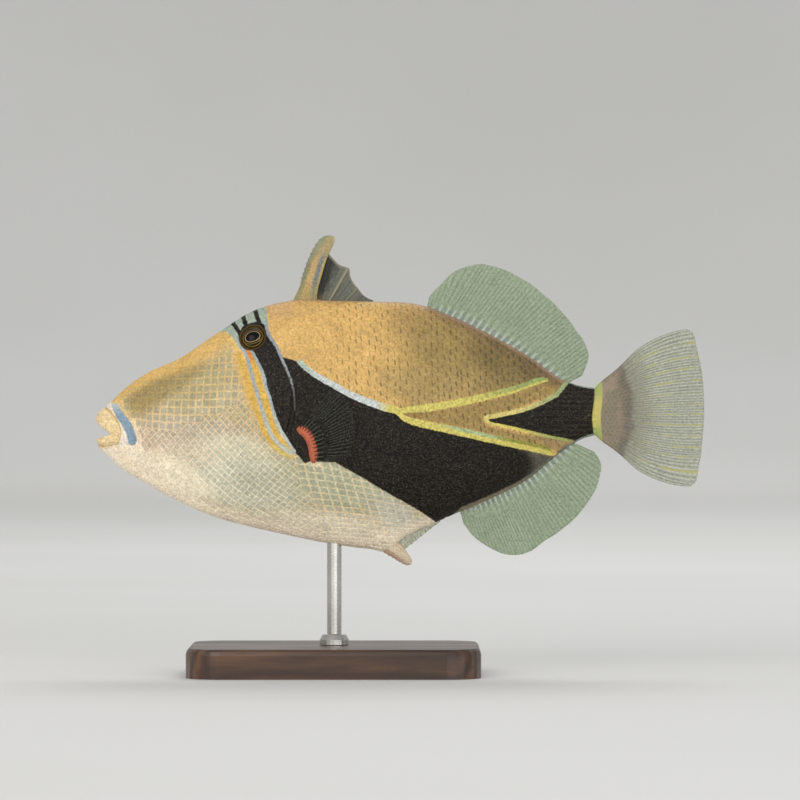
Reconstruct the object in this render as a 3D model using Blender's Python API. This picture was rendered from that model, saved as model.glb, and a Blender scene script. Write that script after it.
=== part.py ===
# A life-size reef triggerfish on a plain display stand.
#
# Sizes are in millimetres in the fish's own frame: x runs back from the snout tip, z up from the
# line of the mouth, and y is 0 on the middle plane, with the left side at negative y.
# place() turns them into metres, with the origin under the middle of the stand.

import math

import bmesh
import bpy
import numpy as np
from mathutils import Vector

MM = 0.001
GAP = 0.3
MOUTH_HEIGHT = 100.0
ROD_X = 98.0

# The body is a loft. At station t a ring joins a top, a side and a bottom point by quarter ovals.
# From 20 on, t is simply x. Below that the rings turn in over the lips, and end in the throat.
THROAT = -8.0
TOP_LINE = (
    (THROAT, 9.5, 1.2), (-5.5, 6.4, 2.7), (-3, 3.6, 3.3), (-1.5, 2.2, 3.1), (0, 0.9, 2.8),
    (2, 0.0, 4.7), (4, 1.0, 7.4), (6, 3.4, 9.5), (7.5, 5.9, 11.7),
    (10, 9.9, 15.6), (20, 20, 23.2), (34.5, 34.5, 30.0), (49.3, 49.3, 39.9),
    (64.1, 64.1, 49.1), (79, 79, 53.4), (93.7, 93.7, 53.6), (113.5, 113.5, 53.2), (133.2, 133.2, 51.9),
    (148, 148, 46.5), (162.8, 162.8, 39.3), (177.6, 177.6, 31.0), (192.4, 192.4, 20.9),
    (199, 199, 18.7), (205.6, 205.6, 17.7),
)
SIDE_LINE = (
    (THROAT, 10.0, 1.8, -1.0), (-5.5, 8.7, 2.8, -1.1), (-3, 7.7, 3.5, -1.2), (0, 6.6, 4.4, -1.2),
    (2, 6.3, 5.2, -1.2), (4, 7.2, 6.3, -1.1), (6, 8.9, 6.8, -0.8),
    (7.5, 10.2, 6.8, -0.6), (10, 12.6, 7.7, -0.2),
    (20, 20, 9.4, 0.8), (34.5, 34.5, 12.2, 1.8), (49.3, 49.3, 14.9, 3.2), (64.1, 64.1, 17.2, 4.8),
    (79, 79, 18.9, 5.5), (93.7, 93.7, 19.4, 5.0), (113.5, 113.5, 18.8, 5.0), (133.2, 133.2, 16.5, 6.5),
    (148, 148, 14.1, 7.0), (162.8, 162.8, 11.2, 6.8), (177.6, 177.6, 8.2, 6.6), (192.4, 192.4, 5.5, 7.0),
    (205.6, 205.6, 4.2, 8.0),
)
BOTTOM_LINE = (
    (THROAT, 9.5, -2.8), (-5.5, 6.4, -3.8), (-3, 3.6, -4.2), (-1.5, 2.2, -4.0), (0, 0.9, -3.5),
    (2, 0.1, -4.6), (4, 1.4, -6.9), (6, 3.9, -9.3), (7.5, 6.0, -11.3),
    (10, 9.9, -14.8), (20, 20, -21.1), (34.5, 34.5, -29.2), (49.3, 49.3, -35.4),
    (64.1, 64.1, -39.5), (79, 79, -42.8), (93.7, 93.7, -45.8), (106, 106, -47.0), (113.5, 113.5, -46.9),
    (120, 120, -45.6), (126, 126, -43.7), (133.2, 133.2, -40.5), (148, 148, -33.9), (162.8, 162.8, -27.7),
    (177.6, 177.6, -19.9), (192.4, 192.4, -7.8), (199, 199, -3.7), (205.6, 205.6, -1.6),
)
# A ring's edges are fuller than an oval where these powers are under 1, and keener over 1.
UPPER_POWER = ((THROAT, 1.0), (20, 0.95), (64, 0.8), (93, 0.9), (133, 1.0), (178, 1.0), (205.6, 0.85))
LOWER_POWER = ((THROAT, 1.0), (20, 1.0), (64, 0.95), (100, 1.0), (133, 1.1), (178, 1.05), (205.6, 0.85))
# The collar lifts the back round the first spine, and the keel is the belly's edge before the pelvic
# spine. Each is a height along t, which fades down the flank by a power of the angle's cosine.
COLLAR = ((79, 0.0), (83, 0.5), (86.5, 0.8), (90.5, 0.6), (94, 0.0))
COLLAR_POWER = 60
KEEL = ((96, 0.0), (106, 0.8), (113.5, 1.7), (118.5, 3.6), (121.5, 3.5), (125, 0.9), (129.5, 0.0))
KEEL_POWER = 12
HALF_RING = 16

HEAD_END = 80.4
TRUNK_END = 182.5
TAIL_END = 205.6
LIP_STATIONS = (THROAT, -5.5, -3, -1.5, 0, 1, 2, 3, 4, 5, 6, 7.5)
HEAD_STATIONS = (9, 12, 16, 20, 25, 30, 36, 42, 48, 54, 60, 66, 73)
TRUNK_STATIONS = (86.5, 92, 98, 104, 109, 113.5, 118, 121.5, 125, 129, 134, 141, 149, 157, 165, 174)
TAIL_STATIONS = (186, 190, 194, 198, 202)

EYE_AT = (64.8, 38.4)
EYE_RADIUS = 5.0
EYE_DEPTH = 3.9
EYE_SUNK = 1.9
ORBIT_RIM = 0.8
TEETH_IN_JAW = 8
TEETH_AT = -1.8
TEETH_SPREAD = math.radians(66)
TOOTH_WIDTH = 1.3
TOOTH_LENGTH = 1.3
NOSTRILS = ((57.4, 41.6), (55.2, 39.0))
NOSTRIL_RADIUS = 0.95
NOSTRIL_BORE = 0.5
GILL_SLIT = ((81.8, 18.9), (78.5, -2.1))
GILL_DEPTH = 1.6
GILL_WIDTH = 0.7

SCUTE_COUNT = 5
SCUTE_AT = (85.2, 16.4)
SCUTE_STEP = (3.0, -2.8)
SCUTE_RADIUS = 2.2

THORN_ROWS = ((184.0, 12.6), (184.0, 9.2), (184.0, 5.9), (184.0, 2.8))
THORNS_IN_ROW = 8
THORN_STEP = 2.35
THORN_LENGTH = 1.8
THORN_HEIGHT = 1.1

MEMBRANE = 0.3
FIN_SINK = 1.5

TRIGGER_FRONT = (
    (0, 79.6, 50.6), (0.05, 81.6, 55.0), (0.1, 83.0, 57.8), (0.3, 84.8, 63.5), (0.5, 86.6, 68.9),
    (0.7, 88.9, 74.1), (0.85, 91.2, 77.9), (0.95, 93.4, 79.9), (1, 95.4, 80.5),
)
TRIGGER_REAR = (
    (0, 91.2, 50.6), (0.1, 91.0, 55.5), (0.3, 92.5, 62.3), (0.5, 94.4, 69.0), (0.7, 96.2, 73.5),
    (0.85, 97.7, 76.8), (0.95, 98.2, 78.8), (1, 97.8, 80.0),
)
TRIGGER_HALF = ((0, 2.7), (0.3, 2.2), (0.7, 1.6), (0.9, 1.1), (1, 0.7))
TRIGGER_ROWS = 26
TRIGGER_TOOTH = 0.35

MEMBRANE_FIN_ROOT = ((0, 90.2), (0.4, 95.0), (0.7, 101.5), (1, 113.6))
MEMBRANE_FIN_TIP = (
    (0, 94.6, 74.2), (0.12, 97.2, 71.2), (0.26, 100.2, 68.3), (0.37, 103.0, 67.3), (0.41, 103.9, 67.0),
    (0.5, 104.5, 63.9), (0.6, 105.8, 61.0), (0.7, 107.5, 58.9), (0.85, 110.3, 55.6), (1, 114.0, 53.7),
)

SOFT_DORSAL_ROOT = (135.7, 193.0)
SOFT_DORSAL_RAYS = 24
SOFT_DORSAL_TIP = (
    (0, 137.3, 55.6), (0.04, 141.9, 60.4), (0.08, 147.6, 65.8), (0.13, 156.4, 68.5), (0.2, 162.0, 68.3),
    (0.3, 169.8, 65.6), (0.45, 179.7, 59.8), (0.6, 189.6, 51.2), (0.75, 196.5, 42.8), (0.88, 201.5, 35.0),
    (0.95, 202.5, 29.6), (1, 199.8, 22.8),
)
ANAL_ROOT = (149.3, 195.5)
ANAL_RAYS = 21
ANAL_TIP = (
    (0, 151.3, -38.2), (0.05, 155.4, -43.4), (0.1, 159.5, -46.5), (0.2, 167.4, -50.5), (0.3, 173.9, -51.1),
    (0.4, 179.3, -49.1), (0.5, 185.0, -45.0), (0.6, 191.2, -40.9), (0.7, 197.4, -35.5), (0.8, 202.7, -28.8),
    (0.9, 206.8, -20.1), (0.96, 207.6, -13.2), (1, 204.8, -8.6),
)
CAUDAL_RAYS = 12
CAUDAL_ROOT = ((0, 17.4), (1, -1.3))
CAUDAL_TIP = (
    (0, 243.3, 42.0), (0.03, 245.4, 40.6), (0.1, 247.1, 34.5), (0.25, 249.2, 25.1), (0.4, 250.2, 14.8),
    (0.6, 250.1, 3.5), (0.75, 249.2, -5.8), (0.9, 247.9, -14.5), (0.97, 246.0, -21.6), (1, 243.8, -22.9),
)
CAUDAL_BOW = 5.0
CAUDAL_WAVE = 2.2
FIN_WAVE = 1.8

PECTORAL_RAYS = 13
PECTORAL_ROOT = ((0, 83.6, 1.0), (0.35, 87.3, -1.6), (0.65, 89.2, -5.8), (1, 89.8, -12.0))
PECTORAL_TIP = (
    (0, 95.6, 15.6), (0.08, 98.2, 16.6), (0.25, 102.8, 13.9), (0.5, 106.5, 4.9), (0.75, 106.2, -3.5),
    (0.92, 103.6, -10.4), (1, 100.4, -12.2),
)
PECTORAL_SPREAD = 0.46
LOBE_HALF = 1.9
LOBE_HEIGHT = 1.7

PELVIC_LOWER = (
    (0, 113.5, -44.5), (0.25, 118.2, -49.6), (0.5, 122.1, -52.1), (0.75, 125.2, -54.0), (0.92, 127.4, -55.0),
    (1, 128.9, -55.1),
)
PELVIC_UPPER = (
    (0, 121.0, -41.5), (0.25, 123.6, -44.9), (0.5, 126.2, -47.3), (0.75, 128.4, -50.4), (0.92, 129.9, -53.0),
    (1, 130.0, -54.3),
)
PELVIC_HALF = ((0, 2.9), (0.5, 2.2), (0.85, 1.5), (1, 0.8))
FLAP_ROOT = (122.6, 140.6)
FLAP_RAYS = 9
FLAP_TIP = (
    (0, 125.9, -49.6), (0.15, 128.2, -47.8), (0.35, 131.4, -45.3), (0.65, 136.2, -41.4), (1, 141.6, -37.3),
)

BASE_LENGTH = 120.0
BASE_WIDTH = 80.0
BASE_HEIGHT = 12.0
BASE_CORNER = 14.0
BASE_EDGE = 1.5
ROD_RADIUS = 3.0
FERRULE_RADIUS = 6.0
FERRULE_HEIGHT = 4.0


# Curves and the body's surface


def smooth(keys, at):
    """The smooth curve through keys, each (position, value, ...), at one position or several."""
    keys = np.asarray(keys, float)
    knots, values = keys[:, 0], keys[:, 1:]
    step = np.diff(knots)[:, None]
    slope = np.diff(values, axis=0) / step
    tangent = np.empty_like(values)
    tangent[1:-1] = (slope[:-1] * step[1:] + slope[1:] * step[:-1]) / (step[:-1] + step[1:])
    tangent[0] = 1.5 * slope[0] - 0.5 * tangent[1] if len(keys) > 2 else slope[0]
    tangent[-1] = 1.5 * slope[-1] - 0.5 * tangent[-2] if len(keys) > 2 else slope[-1]
    where = np.atleast_1d(np.asarray(at, float))
    i = np.clip(np.searchsorted(knots, where) - 1, 0, len(knots) - 2)
    h = step[i]
    u = (where[:, None] - knots[i, None]) / h
    found = (
        (2 * u**3 - 3 * u**2 + 1) * values[i]
        + (u**3 - 2 * u**2 + u) * h * tangent[i]
        + (3 * u**2 - 2 * u**3) * values[i + 1]
        + (u**3 - u**2) * h * tangent[i + 1]
    )
    return found[0] if np.isscalar(at) else found


def bump(keys, at):
    """Like smooth, for single values, and level beyond the ends."""
    return float(smooth(keys, min(max(float(at), keys[0][0]), keys[-1][0]))[0])


def straight(keys, at):
    """The value at a position on straight lines between keys, each (position, value)."""
    knots, values = zip(*keys)
    return float(np.interp(at, knots, values))


def ring(t, grow=0.0, angles=None):
    """The body's outline at station t, in millimetres, grown outward by grow. Angles run from the
    top over the left side."""
    top, side, bottom = smooth(TOP_LINE, float(t)), smooth(SIDE_LINE, float(t)), smooth(BOTTOM_LINE, float(t))
    powers = straight(UPPER_POWER, t), straight(LOWER_POWER, t)
    points = []
    for angle in np.arange(2 * HALF_RING) * math.pi / HALF_RING if angles is None else angles:
        share, across = math.cos(angle), math.sin(angle)
        if share >= 0:
            end, power = top, powers[0]
            away = grow + bump(COLLAR, t) * share**COLLAR_POWER
        else:
            end, power = bottom, powers[1]
            away = -grow - bump(KEEL, t) * share**KEEL_POWER
        width = (side[1] + grow) * abs(across) ** power
        points.append(Vector((
            side[0] + (end[0] - side[0]) * abs(share),
            math.copysign(width, -across),
            side[2] + (end[1] + away - side[2]) * abs(share),
        )))
    return points


def flank(x, z):
    """Half the body's width at (x, z), for x from 20 on."""
    top, side, bottom = smooth(TOP_LINE, float(x)), smooth(SIDE_LINE, float(x)), smooth(BOTTOM_LINE, float(x))
    end, power = (top, straight(UPPER_POWER, x)) if z >= side[2] else (bottom, straight(LOWER_POWER, x))
    share = min(abs((z - side[2]) / (end[1] - side[2])), 1.0)
    return float(side[1] * (1 - share**2) ** (power / 2))


def flank_normal(x, z, side):
    """The way out of the body at (x, z), on side -1 (left) or 1 (right)."""
    step = 0.5
    along = (flank(x + step, z) - flank(x - step, z)) / (2 * step)
    up = (flank(x, z + step) - flank(x, z - step)) / (2 * step)
    return Vector((-along, side, -up)).normalized()


def on_flank(x, z, side, out=0.0):
    """A point on the body's side, moved out along its normal."""
    return Vector((x, side * flank(x, z), z)) + flank_normal(x, z, side) * out


# Making and joining meshes


def place(point):
    x, y, z = point
    return Vector(((x - ROD_X) * MM, y * MM, (z + MOUTH_HEIGHT) * MM))


def mesh_object(name, points, faces):
    """A closed mesh object from points in the fish's frame, with its faces turned outward."""
    form = bmesh.new()
    verts = [form.verts.new(place(p)) for p in points]
    for face in faces:
        form.faces.new([verts[i] for i in face])
    bmesh.ops.recalc_face_normals(form, faces=form.faces)
    mesh = bpy.data.meshes.new(name)
    form.to_mesh(mesh)
    form.free()
    obj = bpy.data.objects.new(name, mesh)
    bpy.context.scene.collection.objects.link(obj)
    return obj


def loft(name, rings):
    """A closed skin over rings of equal length, with a flat cap at each end."""
    count = len(rings[0])
    points = [p for one in rings for p in one]
    faces = [tuple(range(count)), tuple(range(len(points) - count, len(points)))]
    for r in range(len(rings) - 1):
        for k in range(count):
            after = (k + 1) % count
            faces.append((r * count + k, r * count + after, (r + 1) * count + after, (r + 1) * count + k))
    return mesh_object(name, points, faces)


def apply_modifiers(obj):
    graph = bpy.context.evaluated_depsgraph_get()
    made = bpy.data.meshes.new_from_object(obj.evaluated_get(graph))
    obj.modifiers.clear()
    old = obj.data
    obj.data = made
    bpy.data.meshes.remove(old)


def combine(obj, operation, others):
    """Unites obj with the others, or cuts them from it, and removes them."""
    group = bpy.data.collections.new(obj.name + "_" + operation.lower())
    for other in others:
        group.objects.link(other)
    step = obj.modifiers.new(operation.title(), "BOOLEAN")
    step.operation = operation
    step.operand_type = "COLLECTION"
    step.collection = group
    step.solver = "EXACT"
    apply_modifiers(obj)
    for other in others:
        bpy.data.objects.remove(other)
    bpy.data.collections.remove(group)


def keep_largest(obj):
    """Drops every loose surface of obj but the one with the greatest volume."""
    form = bmesh.new()
    form.from_mesh(obj.data)
    left = set(form.verts)
    islands = []
    while left:
        found, edge = set(), [left.pop()]
        while edge:
            vert = edge.pop()
            found.add(vert)
            near = {e.other_vert(vert) for e in vert.link_edges} & left
            left -= near
            edge.extend(near)
        islands.append(found)

    def volume(island):
        faces = {f for v in island for f in v.link_faces}
        return abs(sum(f.calc_center_median().dot(f.normal) * f.calc_area() for f in faces))

    biggest = max(islands, key=volume)
    bmesh.ops.delete(form, geom=[v for v in form.verts if v not in biggest], context="VERTS")
    form.to_mesh(obj.data)
    form.free()


def finish(obj, colour, roughness, metallic=0.0, sharp_degrees=35):
    """Gives obj its colour and smooth shading."""
    material = bpy.data.materials.new(obj.name)
    material.use_nodes = True
    shader = material.node_tree.nodes["Principled BSDF"]
    shader.inputs["Base Color"].default_value = (*colour, 1)
    shader.inputs["Roughness"].default_value = roughness
    shader.inputs["Metallic"].default_value = metallic
    obj.data.materials.clear()
    obj.data.materials.append(material)
    obj.data.shade_smooth()
    obj.data.set_sharp_from_angle(angle=math.radians(sharp_degrees))
    return obj


def grown_body():
    """The whole body, GAP larger all round, which trims what grows from it."""
    stations = [*HEAD_STATIONS, HEAD_END, *TRUNK_STATIONS, TRUNK_END, *TAIL_STATIONS, TAIL_END]
    last = [p + Vector((GAP, 0, 0)) for p in ring(TAIL_END, GAP)]
    return loft("grown_body", [ring(t, GAP) for t in stations] + [last])


def dome(name, centre, outward, radius, height, sides, sink, levels=3):
    """A low dome on a surface, reaching sink below it."""
    axis = Vector(outward).normalized()
    across = axis.orthogonal().normalized()
    other = axis.cross(across)
    rings = [[Vector(centre) - axis * sink + (across * math.cos(a) + other * math.sin(a)) * radius
              for a in np.arange(sides) * 2 * math.pi / sides]]
    for level in range(levels):
        lift = math.sin(0.5 * math.pi * level / levels) * height
        reach = math.cos(0.5 * math.pi * level / levels) * radius
        rings.append([Vector(centre) + axis * lift + (across * math.cos(a) + other * math.sin(a)) * reach
                      for a in np.arange(sides) * 2 * math.pi / sides])
    return loft(name, rings)


def ellipsoid(name, centre, outward, radius, depth, sides=20, rows=10):
    """A ball flattened along outward."""
    axis = Vector(outward).normalized()
    across = axis.orthogonal().normalized()
    other = axis.cross(across)
    rings = []
    for row in range(1, rows):
        polar = math.pi * row / rows
        rings.append([Vector(centre) - axis * depth * math.cos(polar)
                      + (across * math.cos(a) + other * math.sin(a)) * radius * math.sin(polar)
                      for a in np.arange(sides) * 2 * math.pi / sides])
    return loft(name, rings)


def torus(name, centre, outward, radius, thickness, sides=24, around=6):
    axis = Vector(outward).normalized()
    across = axis.orthogonal().normalized()
    other = axis.cross(across)
    points, faces = [], []
    for k in range(sides):
        turn = 2 * math.pi * k / sides
        spoke = across * math.cos(turn) + other * math.sin(turn)
        for m in range(around):
            tilt = 2 * math.pi * m / around
            points.append(Vector(centre) + spoke * (radius + thickness * math.cos(tilt))
                          + axis * thickness * math.sin(tilt))
            a, b = (k + 1) % sides, (m + 1) % around
            faces.append((k * around + m, a * around + m, a * around + b, k * around + b))
    return mesh_object(name, points, faces)


# Fins


def fin(name, middle, half, columns, rows):
    """A thin fin. middle(a, b) is its middle surface and half(a, b) half its thickness, where a runs
    across the rays and b from root to tip. Both faces are split into triangles alike."""
    nudge = 0.004
    front, back = [], []
    for a in columns:
        for b in rows:
            here = Vector(middle(a, b))
            along = Vector(middle(min(a + nudge, 1), b)) - Vector(middle(max(a - nudge, 0), b))
            out = Vector(middle(a, min(b + nudge, 1))) - Vector(middle(a, max(b - nudge, 0)))
            normal = along.cross(out).normalized()
            front.append(here + normal * half(a, b))
            back.append(here - normal * half(a, b))
    high, count = len(rows), len(front)
    faces = []
    for i in range(len(columns) - 1):
        for j in range(high - 1):
            p, q, r, s = i * high + j, (i + 1) * high + j, (i + 1) * high + j + 1, i * high + j + 1
            faces += [(p, q, r), (p, r, s)]
            faces += [(p + count, r + count, q + count), (p + count, s + count, r + count)]
    last = (len(columns) - 1) * high
    edge = list(range(high))
    edge += [i * high + high - 1 for i in range(1, len(columns))]
    edge += [last + j for j in range(high - 2, -1, -1)]
    edge += [i * high for i in range(len(columns) - 2, 0, -1)]
    for here, after in zip(edge, edge[1:] + edge[:1]):
        faces += [(here, after, after + count), (here, after + count, here + count)]
    return mesh_object(name, front + back, faces)


def ray_columns(rays, parts):
    """Positions across a fin with its rays evenly spread, cut into parts from ray to ray."""
    return [k / ((rays - 1) * parts) for k in range((rays - 1) * parts + 1)]


def ridge(a, rays):
    """1 on a ray and 0 half way between two."""
    off = a * (rays - 1) % 1.0
    return 1 - 2 * min(off, 1 - off)


def branched(a, b, rays):
    """Like ridge, but each ray parts in two beyond the middle of the fin."""
    off = a * (rays - 1) % 1.0
    off = min(off, 1 - off)
    forked = max(0.0, 1 - 4 * abs(off - 0.25))
    fork = min(max((b - 0.4) / 0.2, 0.0), 1.0)
    return (1 - 2 * off) * (1 - fork) + forked * fork


def median_fin(name, root_x, root_line, tips, rays, wave, upward):
    """A soft fin on the middle plane, with its root sunk in the body."""
    def middle(a, b):
        x = root_x[0] + (root_x[1] - root_x[0]) * a
        root_z = float(smooth(root_line, x)[1]) - upward * FIN_SINK
        tip = smooth(tips, float(a))
        sway = wave * math.sin(2.2 * math.pi * a + 0.6) * b * b
        return x + (tip[0] - x) * b, sway, root_z + (tip[1] - root_z) * b

    def half(a, b):
        foot = 0.8 * max(0.0, 1 - b / 0.12)
        return MEMBRANE + foot + ridge(a, rays) * (0.4 - 0.22 * b)

    return fin(name, middle, half, ray_columns(rays, 2), (0, 0.06, 0.12, 0.3, 0.5, 0.75, 1))


def soft_dorsal_fin():
    obj = median_fin("soft_dorsal_fin", SOFT_DORSAL_ROOT, TOP_LINE, SOFT_DORSAL_TIP, SOFT_DORSAL_RAYS,
                     FIN_WAVE, 1)
    combine(obj, "DIFFERENCE", [grown_body()])
    keep_largest(obj)
    return finish(obj, (0.42, 0.5, 0.36), 0.5)


def anal_fin():
    obj = median_fin("anal_fin", ANAL_ROOT, BOTTOM_LINE, ANAL_TIP, ANAL_RAYS, -FIN_WAVE, -1)
    combine(obj, "DIFFERENCE", [grown_body()])
    keep_largest(obj)
    return finish(obj, (0.42, 0.5, 0.38), 0.5)


def caudal_fin():
    """The tail fin, with its fleshy foot flush with the end of the tail stalk."""
    start = TAIL_END + GAP
    foot_half = float(smooth(SIDE_LINE, TAIL_END)[1])

    def middle(a, b):
        root_z = straight(CAUDAL_ROOT, a)
        tip = smooth(CAUDAL_TIP, float(a))
        bow = CAUDAL_BOW * (1 - 2 * a) * 4 * b * (1 - b)
        sway = CAUDAL_WAVE * math.sin(1.5 * math.pi * a) * b * b
        return start + (tip[0] - start) * b, sway, root_z + (tip[1] - root_z) * b + bow

    def half(a, b):
        oval = foot_half * math.sqrt(max(0.0, 1 - (2 * a - 1) ** 2))
        flesh = max(0.0, 1 - b / 0.36)
        rays = branched(a, b, CAUDAL_RAYS) * (0.45 - 0.25 * b) * min(1, b / 0.1)
        return MEMBRANE + oval * flesh**1.4 + rays

    rows = (0, 0.07, 0.15, 0.25, 0.36, 0.48, 0.62, 0.8, 1)
    obj = fin("caudal_fin", middle, half, ray_columns(CAUDAL_RAYS, 4), rows)
    return finish(obj, (0.44, 0.45, 0.4), 0.5)


def pectoral_fin(side):
    """A small fan of rays behind the gill slit, on its crescent-shaped lobe."""
    def root(a):
        x, z = smooth(PECTORAL_ROOT, float(a))
        return on_flank(float(x), float(z), side)

    def middle(a, b):
        base = root(a)
        x, z = smooth(PECTORAL_TIP, float(a))
        length = math.hypot(x - base.x, z - base.z)
        away = length * (PECTORAL_SPREAD * b - 0.12 * b * b)
        return base.x + (x - base.x) * b, base.y + side * away, base.z + (z - base.z) * b

    def half(a, b):
        return MEMBRANE + ridge(a, PECTORAL_RAYS) * (0.3 - 0.15 * b) + 0.4 * max(0.0, 1 - b / 0.15)

    name = "pectoral_fin_left" if side < 0 else "pectoral_fin_right"
    obj = fin(name, middle, half, ray_columns(PECTORAL_RAYS, 2), (0, 0.15, 0.35, 0.6, 0.8, 1))
    rings = []
    for a in np.linspace(-0.04, 1.04, 9):
        x, z = smooth(PECTORAL_ROOT, float(a))
        before, after = smooth(PECTORAL_ROOT, float(a) - 0.02), smooth(PECTORAL_ROOT, float(a) + 0.02)
        out = flank_normal(float(x), float(z), side)
        along = Vector((after[0] - before[0], 0, after[1] - before[1])).normalized()
        wide = out.cross(along).normalized()
        taper = math.sqrt(max(0.12, 1 - (2 * a - 1) ** 6))
        here = on_flank(float(x), float(z), side)
        rings.append([here + (wide * math.cos(m) * LOBE_HALF + out * math.sin(m) * LOBE_HEIGHT) * taper
                      for m in np.arange(10) * 2 * math.pi / 10])
    combine(obj, "UNION", [loft("lobe", rings)])
    combine(obj, "DIFFERENCE", [grown_body()])
    keep_largest(obj)
    return finish(obj, (0.12, 0.1, 0.08), 0.5)


# Spines


def blade(name, front, rear, half, rows, tooth=0.0, grow=0.0):
    """A stout spine between a front and a rear edge, grooved behind, with teeth down its front."""
    section = ((0, 0), (0.1, 0.55), (0.4, 1), (0.8, 0.85), (1, 0.45), (0.86, 0), (1, -0.45), (0.8, -0.85),
               (0.4, -1), (0.1, -0.55))
    rings = []
    for k in range(rows + 1):
        s = k / rows
        a, b = smooth(front, s), smooth(rear, s)
        reach = (b - a) / np.linalg.norm(b - a)
        a, b = a - reach * grow, b + reach * grow
        thick = straight(half, s) + grow
        jut = tooth if k % 2 and s > 0.12 else 0.0
        one = []
        for u, v in section:
            spot = a + (b - a) * u - (reach * jut if u == 0 else 0)
            one.append((spot[0], v * thick, spot[1]))
        rings.append(one)
    if grow:
        rings.append([(x + 0.2, y, z + grow) for x, y, z in rings[-1]])
    return loft(name, rings)


def trigger_spine():
    obj = blade("dorsal_spine_first", TRIGGER_FRONT, TRIGGER_REAR, TRIGGER_HALF, TRIGGER_ROWS, TRIGGER_TOOTH)
    combine(obj, "DIFFERENCE", [grown_body()])
    keep_largest(obj)
    return finish(obj, (0.5, 0.42, 0.24), 0.55)


def spiny_dorsal_fin():
    """The second and third spines with their membrane, trimmed clear of the first spine."""
    spine_two, spine_three = 0.4, 0.7

    def middle(a, b):
        x = float(smooth(MEMBRANE_FIN_ROOT, float(a))[0])
        root_z = float(smooth(TOP_LINE, x)[1]) - FIN_SINK
        tip = smooth(MEMBRANE_FIN_TIP, float(a))
        sway = 0.9 * math.sin(math.pi * a) * b * (1 - b)
        return x + (tip[0] - x) * b, sway, root_z + (tip[1] - root_z) * b

    def half(a, b):
        two = max(0.0, 1 - abs(a - spine_two) / 0.04) * (0.8 - 0.45 * b)
        three = max(0.0, 1 - abs(a - spine_three) / 0.04) * (0.6 - 0.35 * b)
        return MEMBRANE + two + three + 0.5 * max(0.0, 1 - b / 0.15)

    columns = (0, 0.12, 0.25, 0.36, 0.4, 0.44, 0.52, 0.6, 0.66, 0.7, 0.74, 0.82, 0.91, 1)
    obj = fin("spiny_dorsal_fin", middle, half, columns, (0, 0.15, 0.3, 0.5, 0.75, 1))
    grown = blade("grown_spine", TRIGGER_FRONT, TRIGGER_REAR, TRIGGER_HALF, TRIGGER_ROWS, 0.0, GAP)
    combine(obj, "DIFFERENCE", [grown_body(), grown])
    keep_largest(obj)
    return finish(obj, (0.2, 0.2, 0.17), 0.55)


def pelvic_spine():
    obj = blade("pelvic_spine", PELVIC_LOWER, PELVIC_UPPER, PELVIC_HALF, 12, 0.2)
    combine(obj, "DIFFERENCE", [grown_body()])
    keep_largest(obj)
    return finish(obj, (0.62, 0.55, 0.44), 0.55)


def pelvic_flap():
    """The short ribbed flap of skin between the pelvic spine and the vent."""
    def middle(a, b):
        x = FLAP_ROOT[0] + (FLAP_ROOT[1] - FLAP_ROOT[0]) * a
        root_z = float(smooth(BOTTOM_LINE, x)[1]) + FIN_SINK
        tip = smooth(FLAP_TIP, float(a))
        return x + (tip[0] - x) * b, 0.0, root_z + (tip[1] - root_z) * b

    def half(a, b):
        return 0.9 - 0.45 * b + ridge(a, FLAP_RAYS) * 0.3

    obj = fin("pelvic_flap", middle, half, ray_columns(FLAP_RAYS, 2), (0, 0.35, 0.7, 1))
    grown = blade("grown_pelvic", PELVIC_LOWER, PELVIC_UPPER, PELVIC_HALF, 12, 0.0, GAP + 0.2)
    combine(obj, "DIFFERENCE", [grown_body(), grown])
    keep_largest(obj)
    return finish(obj, (0.6, 0.6, 0.52), 0.55)


# The body


def eye_centre(side, sunk):
    return on_flank(*EYE_AT, side, -sunk), flank_normal(*EYE_AT, side)


def gill_cutter(side):
    """A thin lens that opens the slit in front of the pectoral fin."""
    (x0, z0), (x1, z1) = GILL_SLIT
    rings = []
    for s in np.linspace(0.0, 1.0, 11):
        x, z = x0 + (x1 - x0) * s, z0 + (z1 - z0) * s
        out = flank_normal(x, z, side)
        along = Vector((x1 - x0, 0, z1 - z0)).normalized()
        wide = out.cross(along).normalized()
        open_by = max(0.15, math.sin(math.pi * s))
        here = on_flank(x, z, side)
        rings.append([here + (wide * math.cos(m) * GILL_WIDTH + out * math.sin(m) * GILL_DEPTH) * open_by
                      for m in np.arange(8) * 2 * math.pi / 8])
    return loft("gill_cutter", rings)


def tooth(angle):
    """A chisel-shaped tooth just inside the lip, with its root in the jaw."""
    before, here, after = ring(TEETH_AT, angles=(angle - 0.05, angle, angle + 0.05))
    along = Vector((after.x - before.x, after.y - before.y, 0)).normalized() * TOOTH_WIDTH / 2
    ahead = Vector((-0.4, 0, 0))
    bite = Vector((0, 0, -1 if math.cos(angle) > 0 else 1))
    corners = ((-1, -1), (1, -1), (1, 1), (-1, 1))
    root = [here - bite * 0.8 + along * u + ahead * v for u, v in corners]
    length = TOOTH_LENGTH * abs(math.cos(angle)) ** 0.6
    edge = [here + bite * length + along * u * 0.8 + ahead * v * 0.4 for u, v in corners]
    return loft("tooth", [root, edge])


def teeth():
    half = TEETH_IN_JAW // 2
    places = [(k + 0.5) / half * TEETH_SPREAD * side for side in (-1, 1) for k in range(half)]
    return [tooth(middle + place) for middle in (0, math.pi) for place in places]


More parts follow.
